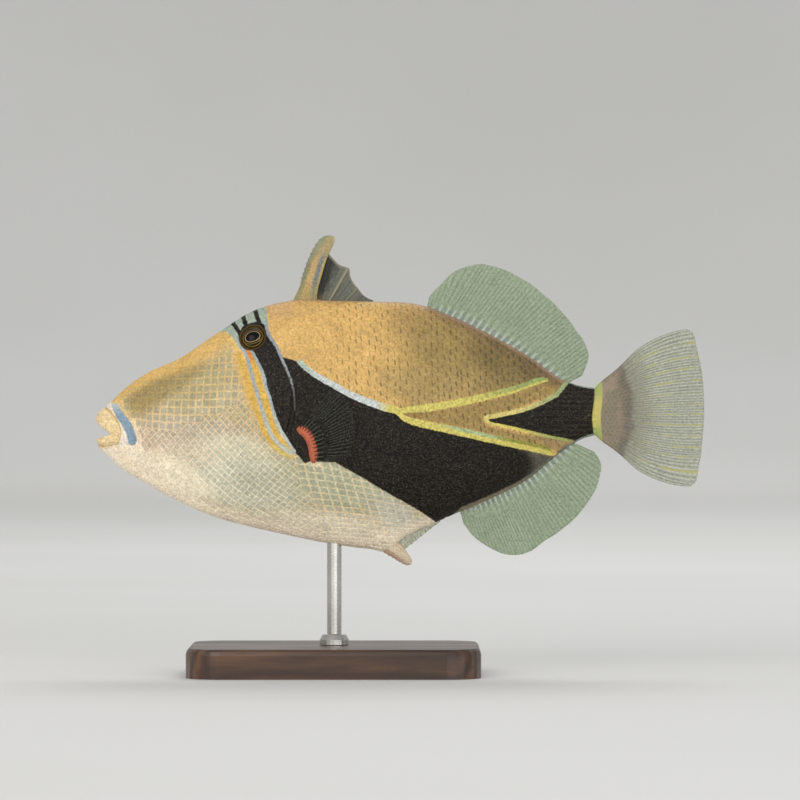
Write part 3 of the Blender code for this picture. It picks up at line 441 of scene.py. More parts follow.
# Stripes and patches as (x, z) lines in the side view, the same on both sides.
markings = {
    "snoutBand": ((8.0, 10.3), (10.7, 5.9), (13.2, 2.6), (15.0, -1.8), (15.4, -4.0)),
    "snoutCream": ((4.7, 12.5), (8.0, 10.8), (10.0, 6.5), (12.2, 2.9), (13.8, -1.0), (14.0, -4.0),
                   (11.5, -7), (10.2, -4), (11, -1), (10.6, 2), (8.6, 6), (5.2, 9.4), (2.0, 12.2)),
    "frontBlue": ((51.8, 43.4), (53.4, 42.1), (57.0, 39.3), (59.0, 35.6), (60.7, 33.5), (62.2, 30.9),
                  (63.4, 26.9), (64.8, 22.5), (66.0, 18.1), (67.5, 13.2), (68.9, 8.8), (70.1, 5.2),
                  (72.4, -0.7), (74.8, -4.2), (78.0, -6.9), (80.6, -9.0)),
    "frontGold": ((59.5, 31.0), (61.2, 25.9), (62.5, 21.4), (64.0, 16.4), (65.8, 10.2), (67.9, 4.9),
                  (69.3, 0.2), (72.6, -4.7), (75.4, -7.8), (80.8, -10.4)),
    "rearGold": ((63.2, 32.5), (64.2, 30.9), (65.4, 26.9), (66.6, 22.5), (67.8, 18.4), (69.3, 14.4),
                 (70.4, 10.7), (71.6, 5.8), (73.7, -0.3), (76.6, -4.7), (79.6, -7.3)),
    "rearBlue": ((64.1, 32.9), (64.9, 32.0), (66.4, 29.0), (68.3, 25.4), (69.7, 21.7), (70.4, 18.1),
                 (71.9, 13.6), (73.0, 9.6), (74.5, 4.8), (77.1, -0.7), (79.3, -4.2), (81.9, -8.2)),
    "grey": ((68.9, 52.2), (69.3, 49.6), (70.1, 45.6), (71.1, 40.0), (73.0, 37.1), (74.8, 34.2),
             (76.7, 29.8), (78.1, 26.9), (79.6, 23.2), (80.7, 20.6), (81.8, 14.8), (82.2, 8.6)),
    "white": ((83.9, 28.4), (87.6, 25.1), (92.5, 21.8), (97.9, 18.9), (103.6, 15.6), (108.6, 13.4),
              (113.5, 11.5), (118.8, 9.7), (123.4, 8.6)),
    "upperArm": ((123.4, 8.0, 0.9), (127.1, 8.6, 1.2), (137.3, 9.7, 1.55), (149.1, 11.8, 1.45),
                 (160.9, 14.3, 1.4), (170.4, 16.7, 1.35), (177.5, 19.1, 1.25),
                 (182.0, 20.7, 1.3), (185.0, 21.1, 0.8)),
    "lowerArm": ((120.9, 9.3, 1.0), (124.2, 7.6, 1.0), (126.2, 5.8, 1.1), (128.1, 4.7, 1.2),
                 (133.1, 3.2, 1.45), (141.9, 1.4, 1.6), (151.4, -0.7, 1.65), (160.9, -2.8, 1.7),
                 (170.3, -4.8, 1.7),
                 (179.8, -6.8, 1.7), (186.0, -8.4, 1.45), (188.2, -9.1, 1.1)),
    "bars": (((54.7, 47.7), (56.0, 44.9), (57.6, 42.8), (59.4, 40.1)),
             ((59.6, 49.8), (60.4, 47.5), (62.0, 43.3), (62.9, 41.1)),
             ((64.9, 51.4), (65.7, 49.1), (66.7, 46.3), (68.3, 42.4))),
    "wedge": ((160.8, 4.8), (167.1, 6.0), (173.4, 7.2), (179.7, 9.2), (186.0, 12.1), (189.8, 14.2),
              (192.3, 17.2), (193.7, 18.9), (195.7, 22.6), (209, 22.6), (209, -8.6), (197.4, -7.8),
              (196.7, -3.9), (192.3, -2.9), (186.0, -1.6), (179.7, -0.1), (170.3, 2.1), (162.1, 3.8)),
    "cap": ((51.8, 40.3), (53.9, 40.9), (56.3, 38.7), (58.4, 35.4), (60.0, 33.3), (64.1, 35.0),
            (68.3, 39.1), (70.7, 41.1), (69.9, 46.1), (69.2, 50.2), (68.3, 55.5), (58.4, 55.5),
            (51.8, 47.3)),
    "band": ((61.7, 33.3), (64.1, 32.9), (64.9, 32.0), (66.4, 29.0), (68.3, 25.4), (69.7, 21.7),
             (70.4, 18.1), (71.9, 13.6), (73.0, 9.6), (74.5, 4.8), (77.1, -0.7), (79.3, -4.2),
             (81.9, -8.2), (86.3, -13.2), (88.4, -12.3), (98.7, -12.6), (99.8, -13.4), (105.0, -16.3),
             (111.3, -19.9), (115.5, -22.6), (120.8, -25.7), (125.5, -28.3), (132.8, -32.5),
             (138.1, -36.2), (140.6, -38.2), (148.0, -35.8), (162.8, -29.2), (173.2, -23.8),
             (177.4, -19.4), (179.6, -15.6), (179.6, -12.4), (178.0, -9.0), (172.0, -6.0),
             (160.8, -2.9), (151.3, -0.4), (141.9, 1.4), (133.2, 3.1), (128.1, 4.5), (124.2, 7.6),
             (118.8, 9.7), (113.5, 11.5), (108.6, 13.4), (103.6, 15.6), (97.9, 18.9), (92.5, 21.8),
             (87.6, 25.1), (83.9, 28.0), (81.4, 29.2), (77.3, 30.2), (76.7, 29.8), (74.8, 34.2),
             (73.0, 37.1), (71.1, 40.0), (70.1, 42.8), (67.8, 45.2), (64.1, 44.4), (60.4, 42.8),
             (58.8, 39.5), (59.6, 35.4)),
    "rearGrey": ((166, -5.4), (188, -10.6), (189.5, -12.5), (184, -19), (176, -26), (168, -30)),
    "face": ((-14.8, 53.9), (51.8, 74.4), (64.1, 58.0), (66.6, 44.8), (68.3, 33.3), (71.5, 18.9),
             (75.7, 6.6), (82.2, -4.5), (96.2, -6.2), (116.8, -14.0), (129.1, -20.1), (141.4, -30.4),
             (143.9, -36.6), (139.8, -69.5), (-14.8, -69.5)),
    "triangle": ((122.5, 8.6), (134.0, 8.2), (145.0, 9.6), (158.0, 12.0), (170.0, 15.2), (181.0, 19.6),
                 (192.0, 18.4), (186.0, 14.0), (173.4, 9.2), (160.2, 5.2), (160.2, 2.6), (170.0, 0.4),
                 (183.0, -2.6), (188.0, -8.4), (172.0, -4.4), (152.0, 0.8), (134.0, 4.4), (127.0, 6.2)),
}

# Soft washes: where, how wide and how high, how far tipped up to the rear, how strong, and the colours of
# the middle and the edge of each scale there.
faceWashes = (
    (22, -4, 24, 9, 0, 1.0, (0.74, 0.67, 0.58), (0.92, 0.82, 0.70)),
    (44, -1, 26, 9, -6, 1.0, (0.72, 0.68, 0.60), (0.90, 0.82, 0.70)),
    (60, -20, 34, 18, -12, 1.0, (0.76, 0.76, 0.68), (0.92, 0.89, 0.79)),
    (38, -9, 16, 6, -12, 0.7, (0.82, 0.77, 0.68), (0.93, 0.87, 0.77)),
    (72, -23, 20, 10, -20, 0.8, (0.68, 0.68, 0.60), (0.85, 0.82, 0.72)),
    (102, -22, 34, 14, -14, 1.0, (0.67, 0.67, 0.57), (0.85, 0.81, 0.68)),
    (124, -35, 14, 8, -30, 1.0, (0.75, 0.74, 0.67), (0.87, 0.83, 0.74)),
    (96, -40, 40, 9, -6, 0.9, (0.89, 0.85, 0.76), (0.96, 0.91, 0.81)),
    (58, -6, 16, 6, -10, 0.7, (0.82, 0.80, 0.70), (0.92, 0.88, 0.77)),
    (34, -19, 21, 8.5, -30, 1.0, (0.95, 0.90, 0.79), (0.96, 0.92, 0.82)),
    (14, -7, 11, 7, -30, 0.9, (0.91, 0.83, 0.72), (0.95, 0.88, 0.78)),
    (22, -15, 12, 6, -35, 0.9, (0.95, 0.89, 0.79), (0.96, 0.91, 0.82)),
    (46, 12, 26, 9, 4, 0.8, (0.69, 0.66, 0.55), (0.88, 0.79, 0.60)),
    (44, 21, 22, 10, 24, 0.8, (0.66, 0.62, 0.48), (0.84, 0.74, 0.50)),
    (21, 14.5, 13, 7.5, 40, 1.0, (0.62, 0.54, 0.36), (0.71, 0.61, 0.40)),
    (33, 22.5, 18, 7.5, 33, 0.95, (0.61, 0.54, 0.37), (0.70, 0.61, 0.40)),
)
backWashes = (
    (74.5, 50.3, 9, 4.5, -12, 0.8, (0.80, 0.64, 0.45), (0.82, 0.67, 0.48)),
    (130, 45, 13, 8, -14, 0.55, (0.72, 0.55, 0.37), (0.75, 0.58, 0.40)),
    (147, 32, 34, 19, -30, 0.95, (0.61, 0.52, 0.32), (0.65, 0.56, 0.36)),
    (134, 18, 24, 11, -14, 0.8, (0.64, 0.55, 0.35), (0.68, 0.59, 0.39)),
    (169, 27.5, 24, 10.5, -32, 0.85, (0.45, 0.39, 0.25), (0.51, 0.44, 0.29)),
    (166, 20, 16, 4.5, 16, 0.6, (0.52, 0.45, 0.28), (0.57, 0.50, 0.33)),
    (184, 23, 16, 8, -30, 0.7, (0.40, 0.34, 0.23), (0.46, 0.40, 0.28)),
    (128, 7.6, 12, 4, 0, 0.6, (0.56, 0.45, 0.27), (0.60, 0.49, 0.30)),
    (186, -4, 13, 6, 14, 0.9, (0.60, 0.51, 0.36), (0.64, 0.55, 0.40)),
    (196, -8, 9, 5, 30, 0.9, (0.46, 0.44, 0.37), (0.50, 0.48, 0.41)),
)
washBase = {
    "face": ((0.70, 0.66, 0.55), (0.89, 0.78, 0.57)),
    "back": ((0.85, 0.69, 0.42), (0.87, 0.72, 0.46)),
    "brow": ((0.86, 0.71, 0.43), (0.88, 0.73, 0.45)),
    "triangle": ((0.62, 0.52, 0.31), (0.67, 0.57, 0.36)),
    "triangleTip": ((0.58, 0.46, 0.27), (0.62, 0.50, 0.31)),
    "rearGrey": ((0.35, 0.35, 0.31), (0.38, 0.38, 0.34)),
    # ridge: painted shade, a darker grey-brown band just under the soft dorsal fin's foot
    "ridge": ((0.42, 0.35, 0.28), (0.46, 0.39, 0.32)),
    # belly: partly the fish's own pale colour, partly painted light, lighter than the fish to offset the
    # underside's shade
    "belly": ((0.98, 0.92, 0.82), (0.99, 0.94, 0.85)),
}


def edgeGaps(x, z):  # how far each spot is below the back's ridge and above the belly's keel
    stations = np.clip(x, 2, body["end"])
    return (smoothCurve(body["topLine"][5:], stations)[:, 1] - z,
            z - smoothCurve(body["bottomLine"][5:], stations)[:, 1])


def lineTones(colour):
    return np.array([paint(*colour[0]), paint(*colour[1])])


def washes(x, z, faceField):  # the middle and edge colours of the scales at each spot
    found = np.empty((len(x), 2, 3))
    face = faceField < 0
    found[:] = lineTones(washBase["back"])
    found[face] = lineTones(washBase["face"])

    def lay(weight, colours):
        found[:] += weight[:, None, None] * (lineTones(colours) - found)

    for patches, where in ((faceWashes, face), (backWashes, ~face)):
        for midX, midZ, wide, high, tip, strength, middle, edge in patches:
            turn = math.radians(tip)
            ahead = (x - midX) * math.cos(turn) + (z - midZ) * math.sin(turn)
            up = (z - midZ) * math.cos(turn) - (x - midX) * math.sin(turn)
            lay(where * strength * (1 - ramp(np.hypot(ahead / wide, up / high), 0.35, 1.15)), (middle, edge))
    depth, height = edgeGaps(x, z)
    brow = 1 - ramp(depth, 1.5 + 2.5 * ramp(x, 20, 50), 7 + 7 * ramp(x, 25, 55))
    lay(face * (x < 66) * (z > 0) * brow, washBase["brow"])
    strip = np.minimum(lineField(x, z, markings["frontGold"], 0), lineField(x, z, markings["frontBlue"], 0))
    lay(face * (x < 78) * ramp(z, 0, 16) * (1 - ramp(strip, 1.2, 5.0)), washBase["brow"])
    # The pale belly towards the keel: partly the fish's own colour, partly painted light against the shade
    # the underside falls into
    lay(face * ((x > 14) | (z < -7)) * (1 - ramp(height, 1.5, 7.5)) * 0.9, washBase["belly"])
    triangle = areaField(x, z, markings["triangle"])
    front = 1 - ramp(triangle, -1.2, 0.6)
    lay(~face * front, washBase["triangle"])
    lay(~face * front * (1 - ramp(x, 124, 142)), washBase["triangleTip"])
    grey = areaField(x, z, markings["rearGrey"])
    lay(~face * (1 - ramp(grey, -0.6, 1.4)), washBase["rearGrey"])
    # Painted shade: the back darkens within a few mm under the soft dorsal fin's foot, shade beneath the fin
    lay(~face * ramp(x, 126, 150) * (x < 199) * (1 - ramp(depth, 1.6, 6.5)) * 0.55, washBase["ridge"])
    return found[:, 0], found[:, 1]


def markingFields(spots):
    x, z = spots[:, 0], spots[:, 2]
    face = areaField(x, z, markings["face"])

    def stripe(name, half):
        return lineField(x, z, markings[name], half)

    bars = np.minimum.reduce([lineField(x, z, bar, (1.0, 0.95, 0.9, 0.85)) for bar in markings["bars"]])
    mirrored = np.column_stack([x, -np.abs(spots[:, 1]), z])
    eyeAway, _ = fromAxis(mirrored, eyeSpot, eyeOut)
    cells, edges = washes(x, z, face)
    arms, sides = [], []
    for name in ("upperArm", "lowerArm"):
        keys = np.array(markings[name])
        arms.append(lineField(x, z, keys[:, :2], keys[:, 2]))
        sides.append((z - np.interp(x, keys[:, 0], keys[:, 1])) / np.interp(x, keys[:, 0], keys[:, 2]))
    depth, height = edgeGaps(x, z)
    onBack = np.where((x > 60) & (x < 199), depth - 0.3 * ramp(x, 60, 80) - 1.1 * ramp(x, 128, 142), 12)
    onBelly = np.where((x > 146) & (x < 199), height - 1.7 * ramp(x, 146, 151), 12)
    return {
        "bandField": areaField(x, z, markings["band"]),
        "wedgeField": areaField(x, z, markings["wedge"]),
        "capField": areaField(x, z, markings["cap"]),
        "lipField": areaField(x, z, head["lipEdge"]),
        "creamField": areaField(x, z, markings["snoutCream"]),
        "barField": bars,
        "blueField": np.minimum(stripe("frontBlue", 0.7), stripe("rearBlue", 0.6)),
        "goldField": np.minimum(stripe("frontGold", 0.95), stripe("rearGold", 1.4)),
        "greyField": stripe("grey", np.linspace(0.85, 0.3, len(markings["grey"]))),
        "whiteField": stripe("white", np.linspace(1.0, 1.55, len(markings["white"]))),
        "armField": np.minimum(*arms),
        "armSide": np.where(arms[0] < arms[1], sides[0], sides[1]).clip(-3, 3),
        "footField": np.minimum(onBack, onBelly),
        "stalkField": np.where(x > 193, np.minimum(depth - 0.5, height - 0.8), 12),
        "snoutField": stripe("snoutBand", (1.4, 1.7, 1.85, 1.9, 1.8)),
        "eyeAway": np.minimum(eyeAway, 20),
        "cellTint": cells,
        "edgeTint": edges,
    }


# Effects shared by the materials


def softEdgeGroup():  # 1 inside a marking, 0 outside
    board, given, out = newGroup("softEdge", {"Field": 0.0, "Softness": 0.25, "Wobble": 0.0},
                                 {"Mask": "Float"})
    edge = board.plus(given["Field"], given["Wobble"])
    board.feed(out.inputs["Mask"], board.spread(edge, board.times(given["Softness"], -1.0),
                                                given["Softness"], 1.0, 0.0))
    return board.tree


def grainGroup():  # a fine speckle and slow drift of tone, and the small bumps of rough skin
    board, given, out = newGroup("skinGrain", {"Fine": 1.1, "Slow": 0.09},
                                 {"Tone": "Float", "Bumps": "Float"})
    where = board.vector("spot")
    fine = board.noise(where, given["Fine"], 3.0, 0.65)
    slow = board.noise(where, given["Slow"], 2.0)
    tone = board.plus(board.spread(fine, 0.34, 0.66, -0.24, 0.24, "LINEAR"),
                     board.spread(slow, 0.25, 0.75, 0.945, 1.055, "LINEAR"))
    board.feed(out.inputs["Tone"], tone)
    board.feed(out.inputs["Bumps"], board.noise(where, 3.6, 2.0, 0.6))
    return board.tree


softEdge, skinGrain = softEdgeGroup(), grainGroup()

fishTints = {
    "dashFront": (0.50, 0.43, 0.25), "dashRear": (0.30, 0.27, 0.19), "cap": (0.62, 0.67, 0.61),
    "capEdge": (0.67, 0.71, 0.65), "black": (0.03, 0.025, 0.02), "blackSpeckle": (0.34, 0.31, 0.25),
    "blackEdge": (0.17, 0.15, 0.12), "stalkStreak": (0.27, 0.24, 0.18), "analFoot": (0.58, 0.53, 0.45),
    "analFootRear": (0.45, 0.43, 0.38), "dorsalFoot": (0.66, 0.54, 0.47),
    "greyLine": (0.60, 0.62, 0.63), "lineTop": (0.64, 0.69, 0.64), "whiteFront": (0.72, 0.78, 0.73),
    "white": (0.79, 0.81, 0.80), "lemon": (0.84, 0.79, 0.43), "leaf": (0.60, 0.66, 0.40),
    "lowerArmTop": (0.66, 0.74, 0.56), "lowerArmTopRear": (0.58, 0.58, 0.27),
    "lowerArmTip": (0.86, 0.74, 0.45), "armHatch": (0.50, 0.49, 0.24), "gold": (0.86, 0.70, 0.34),
    "goldTop": (0.84, 0.54, 0.26), "goldFoot": (0.84, 0.75, 0.45), "blueFoot": (0.76, 0.78, 0.74),
    "blue": (0.64, 0.68, 0.69), "snoutCream": (0.94, 0.90, 0.82), "snoutBlue": (0.53, 0.61, 0.68),
    "snoutBlueTop": (0.72, 0.74, 0.73), "lip": (0.94, 0.84, 0.66), "lipShade": (0.89, 0.79, 0.59),
    "lipLine": (0.50, 0.38, 0.24), "wedgeUpper": (0.85, 0.79, 0.41),
    "wedgeUpperRear": (0.62, 0.66, 0.39), "wedgeLower": (0.84, 0.78, 0.48),
    "wedgeLowerRear": (0.62, 0.67, 0.48), "stalkEdge": (0.55, 0.59, 0.53),
    "tailBandMiddle": (0.77, 0.72, 0.41), "tailBand": (0.64, 0.67, 0.40), "eyeRim": (0.15, 0.10, 0.06),
    "eyeRing": (0.42, 0.34, 0.15),
}


def fishPaintGroup():  # every marking of the body, for the skin and the scales alike
    board, given, out = newGroup("fishPaint", {"Rim": 0.0, "Dash": 0.0, "Tone": 0.0},
                                 {"Color": "Color", "Roughness": "Float", "Height": "Float"})
    tint = {name: paint(*colour) for name, colour in fishTints.items()}
    where = board.vector("spot")
    apart = board.parts(where)
    x, z = apart["X"], apart["Z"]
    grain = board.use(skinGrain).outputs
    wobble = board.spread(board.noise(where, 0.8, 2.0), 0.3, 0.7, -0.15, 0.15, "LINEAR")
    colour = board.blend(given["Rim"], board.vector("cellTint"), board.vector("edgeTint"))

    def mask(label, softness=0.22, shift=None):
        field = board.field(label) if shift is None else board.minus(board.field(label), shift)
        return board.use(softEdge, {"Field": field, "Softness": softness, "Wobble": wobble}).outputs[0]

    both = board.times
    colour = board.blend(both(given["Dash"], 0.85), colour, board.blend(
        board.spread(x, 110.0, 160.0), tint["dashFront"], tint["dashRear"]))
    colour = board.scale(colour, board.plus(1.0, both(given["Tone"], 0.045)))
    colour = board.blend(mask("capField", 0.35), colour,
                         board.blend(given["Rim"], tint["cap"], tint["capEdge"]))
    speckle = board.spread(board.noise(where, 1.7, 2.0, 0.75), 0.5, 0.64)
    black = board.blend(both(speckle, 0.7), tint["black"], tint["blackSpeckle"])
    black = board.blend(both(given["Rim"], 0.3), black, tint["blackEdge"])
    streaks = board.spread(board.sum("SINE", board.times(z, 3.2)), 0.4, 1.0)
    streaks = both(streaks, board.spread(x, 180.0, 196.0, 0.0, 0.4))
    black = board.blend(streaks, black, tint["stalkStreak"])
    bandSoft = board.spread(x, 164.0, 178.0, 0.3, 2.6)
    bandGiven = {"Field": board.field("bandField"), "Softness": bandSoft, "Wobble": wobble}
    colour = board.blend(board.use(softEdge, bandGiven).outputs[0], colour, black)
    footTint = board.blend(board.spread(z, -9.0, -2.0), board.blend(
        board.spread(x, 165.0, 188.0), tint["analFoot"], tint["analFootRear"]), tint["dorsalFoot"])
    colour = board.blend(both(mask("footField", 0.6), 0.85), colour, footTint)
    grey = both(mask("greyField"), board.spread(z, 8.0, 27.0, 0.25, 1.0))
    colour = board.blend(grey, colour, board.blend(board.spread(z, 40.0, 47.0), tint["greyLine"],
                                                   tint["lineTop"]))
    colour = board.blend(mask("barField"), colour, black)
    whiteTint = board.blend(board.spread(x, 86.0, 92.0), tint["whiteFront"], tint["white"])
    lemon, leaf = tint["lemon"], tint["leaf"]
    whiteTint = board.blend(board.spread(x, 114.0, 122.0), whiteTint, lemon)
    colour = board.blend(mask("whiteField"), colour, whiteTint)
    side = board.field("armSide")
    upper = board.blend(both(board.spread(x, 150.0, 178.0), board.spread(side, -0.7, 0.0)), lemon, leaf)
    lowerTop = board.blend(board.spread(x, 160.0, 170.0), tint["lowerArmTop"], tint["lowerArmTopRear"])
    lower = board.blend(both(board.spread(x, 138.0, 150.0), board.spread(side, -0.1, 0.5)), lemon, lowerTop)
    lower = board.blend(board.spread(x, 186.0, 188.5), lower, tint["lowerArmTip"])
    arms = board.blend(board.spread(z, 5.6, 6.4), lower, upper)
    hatch = board.spread(board.noise(where, 1.2, 2.0), 0.5, 0.62, 0.0, 0.32)
    arms = board.blend(hatch, arms, tint["armHatch"])
    colour = board.blend(mask("armField"), colour, arms)
    gold = board.blend(both(board.spread(z, 27.0, 31.0), board.spread(x, 60.9, 62.0)), tint["gold"],
                       tint["goldTop"])
    gold = board.blend(board.spread(z, -2.0, -9.0), gold, tint["goldFoot"])
    colour = board.blend(mask("goldField"), colour, gold)
    blue = board.blend(board.spread(z, -8.0, 20.0), tint["blueFoot"], tint["blue"])
    blue = board.blend(board.spread(z, 33.0, 36.0), blue, tint["lineTop"])
    colour = board.blend(mask("blueField"), colour, blue)
    colour = board.blend(mask("creamField", 0.5), colour, tint["snoutCream"])
    colour = board.blend(mask("snoutField", 0.35), colour, board.blend(
        board.spread(z, 6.0, 11.5), tint["snoutBlue"], tint["snoutBlueTop"]))
    lips = board.blend(board.spread(board.noise(where, 0.5, 2.0), 0.4, 0.7), tint["lip"],
                       tint["lipShade"])
    colour = board.blend(mask("lipField", 0.3), colour, lips)
    lipLine = board.spread(board.sum("ABSOLUTE", board.field("lipField")), 0.1, 0.5, 0.4, 0.0)
    colour = board.blend(lipLine, colour, tint["lipLine"])
    above = board.spread(z, 2.0, 5.5)
    late = board.spread(x, 168.0, 194.0)
    outline = board.blend(above, board.blend(late, tint["wedgeUpper"], tint["wedgeUpperRear"]),
                          board.blend(late, tint["wedgeLower"], tint["wedgeLowerRear"]))
    wedgeShift = board.spread(z, 2.0, 5.5, 1.2, 1.8)
    wedgeEdge = both(mask("wedgeField", 0.22, wedgeShift), board.spread(x, 197.0, 193.0))
    colour = board.blend(wedgeEdge, colour, outline)
    colour = board.blend(mask("wedgeField"), colour, black)
    colour = board.blend(both(mask("stalkField", 0.2), 0.9), colour, tint["stalkEdge"])
    curl = board.times(board.sum("SINE", board.times(z, 0.3)), 0.5)
    foot = board.spread(board.plus(x, curl), 204.1, 204.7)
    lemonEnd = board.blend(board.spread(board.gap(z, 8.0), 3.0, 8.5),
                           tint["tailBandMiddle"], tint["tailBand"])
    colour = board.blend(foot, colour, lemonEnd)
    away = board.field("eyeAway")
    ring = board.spread(board.gap(away, 5.3), 0.06, 0.26, 0.8, 0.0)
    inner = board.spread(board.gap(away, 4.75), 0.05, 0.2, 0.8, 0.0)
    rim = board.blend(board.sum("MAXIMUM", ring, inner), tint["eyeRim"], tint["eyeRing"])
    colour = board.blend(board.spread(away, 5.65, 5.95, 1.0, 0.0), colour, rim)
    board.feed(out.inputs["Color"], board.scale(colour, grain["Tone"]))
    board.feed(out.inputs["Roughness"], board.spread(grain["Bumps"], 0.2, 0.8, 0.40, 0.56, "LINEAR"))
    board.feed(out.inputs["Height"], grain["Bumps"])
    return board.tree


fishPaint = fishPaintGroup()


def newMaterial(name, uniform=()):  # (material, its board, its shader)
    material = bpy.data.materials.new(name)
    material.use_nodes = True
    shader = material.node_tree.nodes["Principled BSDF"]
    for label, value in dict(uniform).items():
        shader.inputs[label].default_value = value
    return material, Board(material.node_tree), shader


def dress(board, shader, colour, roughness, height=None, distance=0.0001, strength=1.0):
    board.feed(shader.inputs["Base Color"], colour)
    board.feed(shader.inputs["Roughness"], roughness)
    if height is not None:
        bump = board.add("Bump", {"Height": height, "Distance": distance, "Strength": strength})
        board.feed(shader.inputs["Normal"], bump.outputs[0])


def skinMaterial():
    material, board, shader = newMaterial("moistSkin", {"Specular IOR Level": 0.16, "Coat Weight": 0.02})
    painted = board.use(fishPaint, {"Rim": 1.0}).outputs
    dress(board, shader, painted["Color"], painted["Roughness"], painted["Height"], 0.00008, 0.7)
    return material


def scaleMaterial():
    material, board, shader = newMaterial("moistScales", {"Specular IOR Level": 0.16, "Coat Weight": 0.02})
    apart = board.parts(board.vector("plateAt"))
    reach = board.sum("MAXIMUM", board.sum("ABSOLUTE", apart["X"]), board.sum("ABSOLUTE", apart["Y"]))
    rim = board.spread(reach, 0.31, 0.46)
    dash = board.parts(board.vector("plateDash"))
    long = board.sum("POWER", board.sum("DIVIDE", dash["Y"], 1.4), 2.0)
    wide = board.sum("POWER", board.sum("DIVIDE", dash["X"], 0.37), 2.0)
    oval = board.spread(board.plus(long, wide), 0.45, 1.25, 1.0, 0.0)
    painted = board.use(fishPaint, {"Rim": rim, "Dash": board.times(oval, dash["Z"]),
                                    "Tone": apart["Z"]}).outputs
    dress(board, shader, painted["Color"], painted["Roughness"], painted["Height"], 0.00009, 0.8)
    return material


skinFinish, scaleFinish = skinMaterial(), scaleMaterial()
print("paint and finishes made")

# The skin

skin = {
    "aroundStep": 0.028,
    "aroundFine": 0.014,  # over the eyes and the gill slit
    "fineAngles": (18, 100),
    "spans": ((-8, 10, 0.45), (10, 54, 0.9), (54, 76, 0.36), (76, 84.5, 0.36), (84.5, 205.6, 0.95)),
}


def spanSteps(spans):
    parts = [np.linspace(low, high, int(round((high - low) / step)), endpoint=False)
             for low, high, step in spans]
    return np.concatenate(parts + [[spans[-1][1]]])


def buildSkin():
    low, high = (math.radians(a) for a in skin["fineAngles"])
    step, fine = skin["aroundStep"], skin["aroundFine"]
    half = spanSteps(((0, low, step), (low, high, fine), (high, math.pi, step)))
    angles = np.concatenate([half, fullTurn - half[-2:0:-1]])
    stations = spanSteps(skin["spans"])
    t, angle = np.meshgrid(stations, angles, indexing="ij")
    outside, out = bodyPoint(t, angle), bodyNormal(t, angle)
    spots = outside + out * (foldHeight(outside) - skinDepth(outside))[..., None]
    wide, around = len(stations), len(angles)
    flatSpots = spots.reshape(-1, 3)
    at, after, quads = ringGrid(wide, around)
    throat, end = len(flatSpots), len(flatSpots) + 1
    flatSpots = np.vstack([flatSpots, spots[0].mean(0), spots[-1].mean(0)])
    caps = [fan(after[0], at[0], throat), fan(at[-1], after[-1], end)]
    u = (stations - body["throat"]) / (body["end"] - body["throat"])
    v = np.append(angles, fullTurn) / fullTurn
    left = np.broadcast_arrays(u[:-1, None], v[None, :-1])
    right = np.broadcast_arrays(u[1:, None], v[None, 1:])
    flatCorners = np.stack([np.stack([left[0], left[1]], -1), np.stack([left[0], right[1]], -1),
                            np.stack([right[0], right[1]], -1), np.stack([right[0], left[1]], -1)], axis=2)
    capCorners = np.vstack([np.column_stack([np.full(3 * around, 0.001), np.repeat(v[:-1], 3)]),
                            np.column_stack([np.full(3 * around, 0.999), np.repeat(v[:-1], 3)])])
    cornerFlat = np.vstack([flatCorners.reshape(-1, 2), capCorners])
    makePiece("fishSkin", flatSpots, [quads, np.vstack(caps)], skinFinish, "trunk_skin",
              markingFields(flatSpots), cornerFlat=cornerFlat, standsFor=("head", "trunk", "tail_stalk"))
    print("skin:", len(flatSpots), "points")


buildSkin()


# The scales

# Both lattices are given at a few spots (x, z): which way the rows run (degrees up from the rear)
# and the columns, and how far apart the rows and the columns are. The face has square scales, and below
# the change line and ahead of the change front, diamonds of the same lattice.
scales = {
    "thick": 0.2,
    "gap": 0.018,
    "sides": 12,
    "rings": ((0.5, 0.99), (0.82, 0.94), (0.95, 0.8), (1.0, 0.5)),
    "faceLattice": (
        (47, 25, 2, 90, 3.0, 3.0), (36, 11, 0, 84, 2.9, 2.95), (55, 14, 8, 92, 3.0, 3.0),
        (23, 8, -20, 80, 2.8, 2.8), (30, 22, 2, 84, 2.9, 2.9), (60, 38, 6, 92, 3.0, 3.0),
        (62.5, 8.4, 0, 90, 3.4, 3.0), (22, -5, 3, 93, 3.7, 2.65), (39, -4, 3, 92, 4.1, 2.75),
        (12, -12, 0, 92, 3.2, 2.5), (57, -21, 3, 93, 4.2, 3.1), (40, -26, 0, 92, 3.8, 2.9),
        (75, -30, -3, 97, 3.2, 3.3), (92, -22, -5, 110, 2.45, 3.6), (106, -22, -6, 113, 2.3, 3.6),
        (100, -38, -8, 106, 2.2, 3.3), (130, -38, -14, 100, 2.1, 3.0),
    ),
    "backLattice": (
        (80, 40, -39, 39, 3.3, 3.3), (110, 40, -39, 39, 3.3, 3.3), (130, 20, -39, 39, 3.3, 3.3),
        (95, 5, -39, 39, 3.2, 3.2), (130, -20, -39, 39, 3.2, 3.2), (150, 40, -39, 39, 3.1, 3.1),
        (160, 0, -38, 38, 2.9, 2.9), (180, 15, -36, 36, 2.6, 2.6), (195, 8, -35, 35, 2.3, 2.3),
        (205, 8, -35, 35, 2.2, 2.2), (170, -22, -38, 38, 2.7, 2.7), (90, 55, -39, 39, 3.2, 3.2),
    ),
    "changeLine": ((8, 4.0), (17.5, 2.8), (25.8, 0.5), (37.6, 2.3), (43.5, 4.4), (50, 7.5), (58, 11.9),
                   (66, 14)),
    "changeFront": ((-60, 98), (-22, 86), (0, 78), (20, 71)),
    "degree": 6,
}


def powersOf(x, z, degree):  # terms of a two-way polynomial and their slopes
    terms = [(i, total - i) for total in range(1, degree + 1) for i in range(total + 1)]
    value = np.stack([x**i * z**j for i, j in terms], -1)
    slopeX = np.stack([i * x ** max(i - 1, 0) * z**j for i, j in terms], -1)
    slopeZ = np.stack([j * x**i * z ** max(j - 1, 0) for i, j in terms], -1)
    return value, slopeX, slopeZ


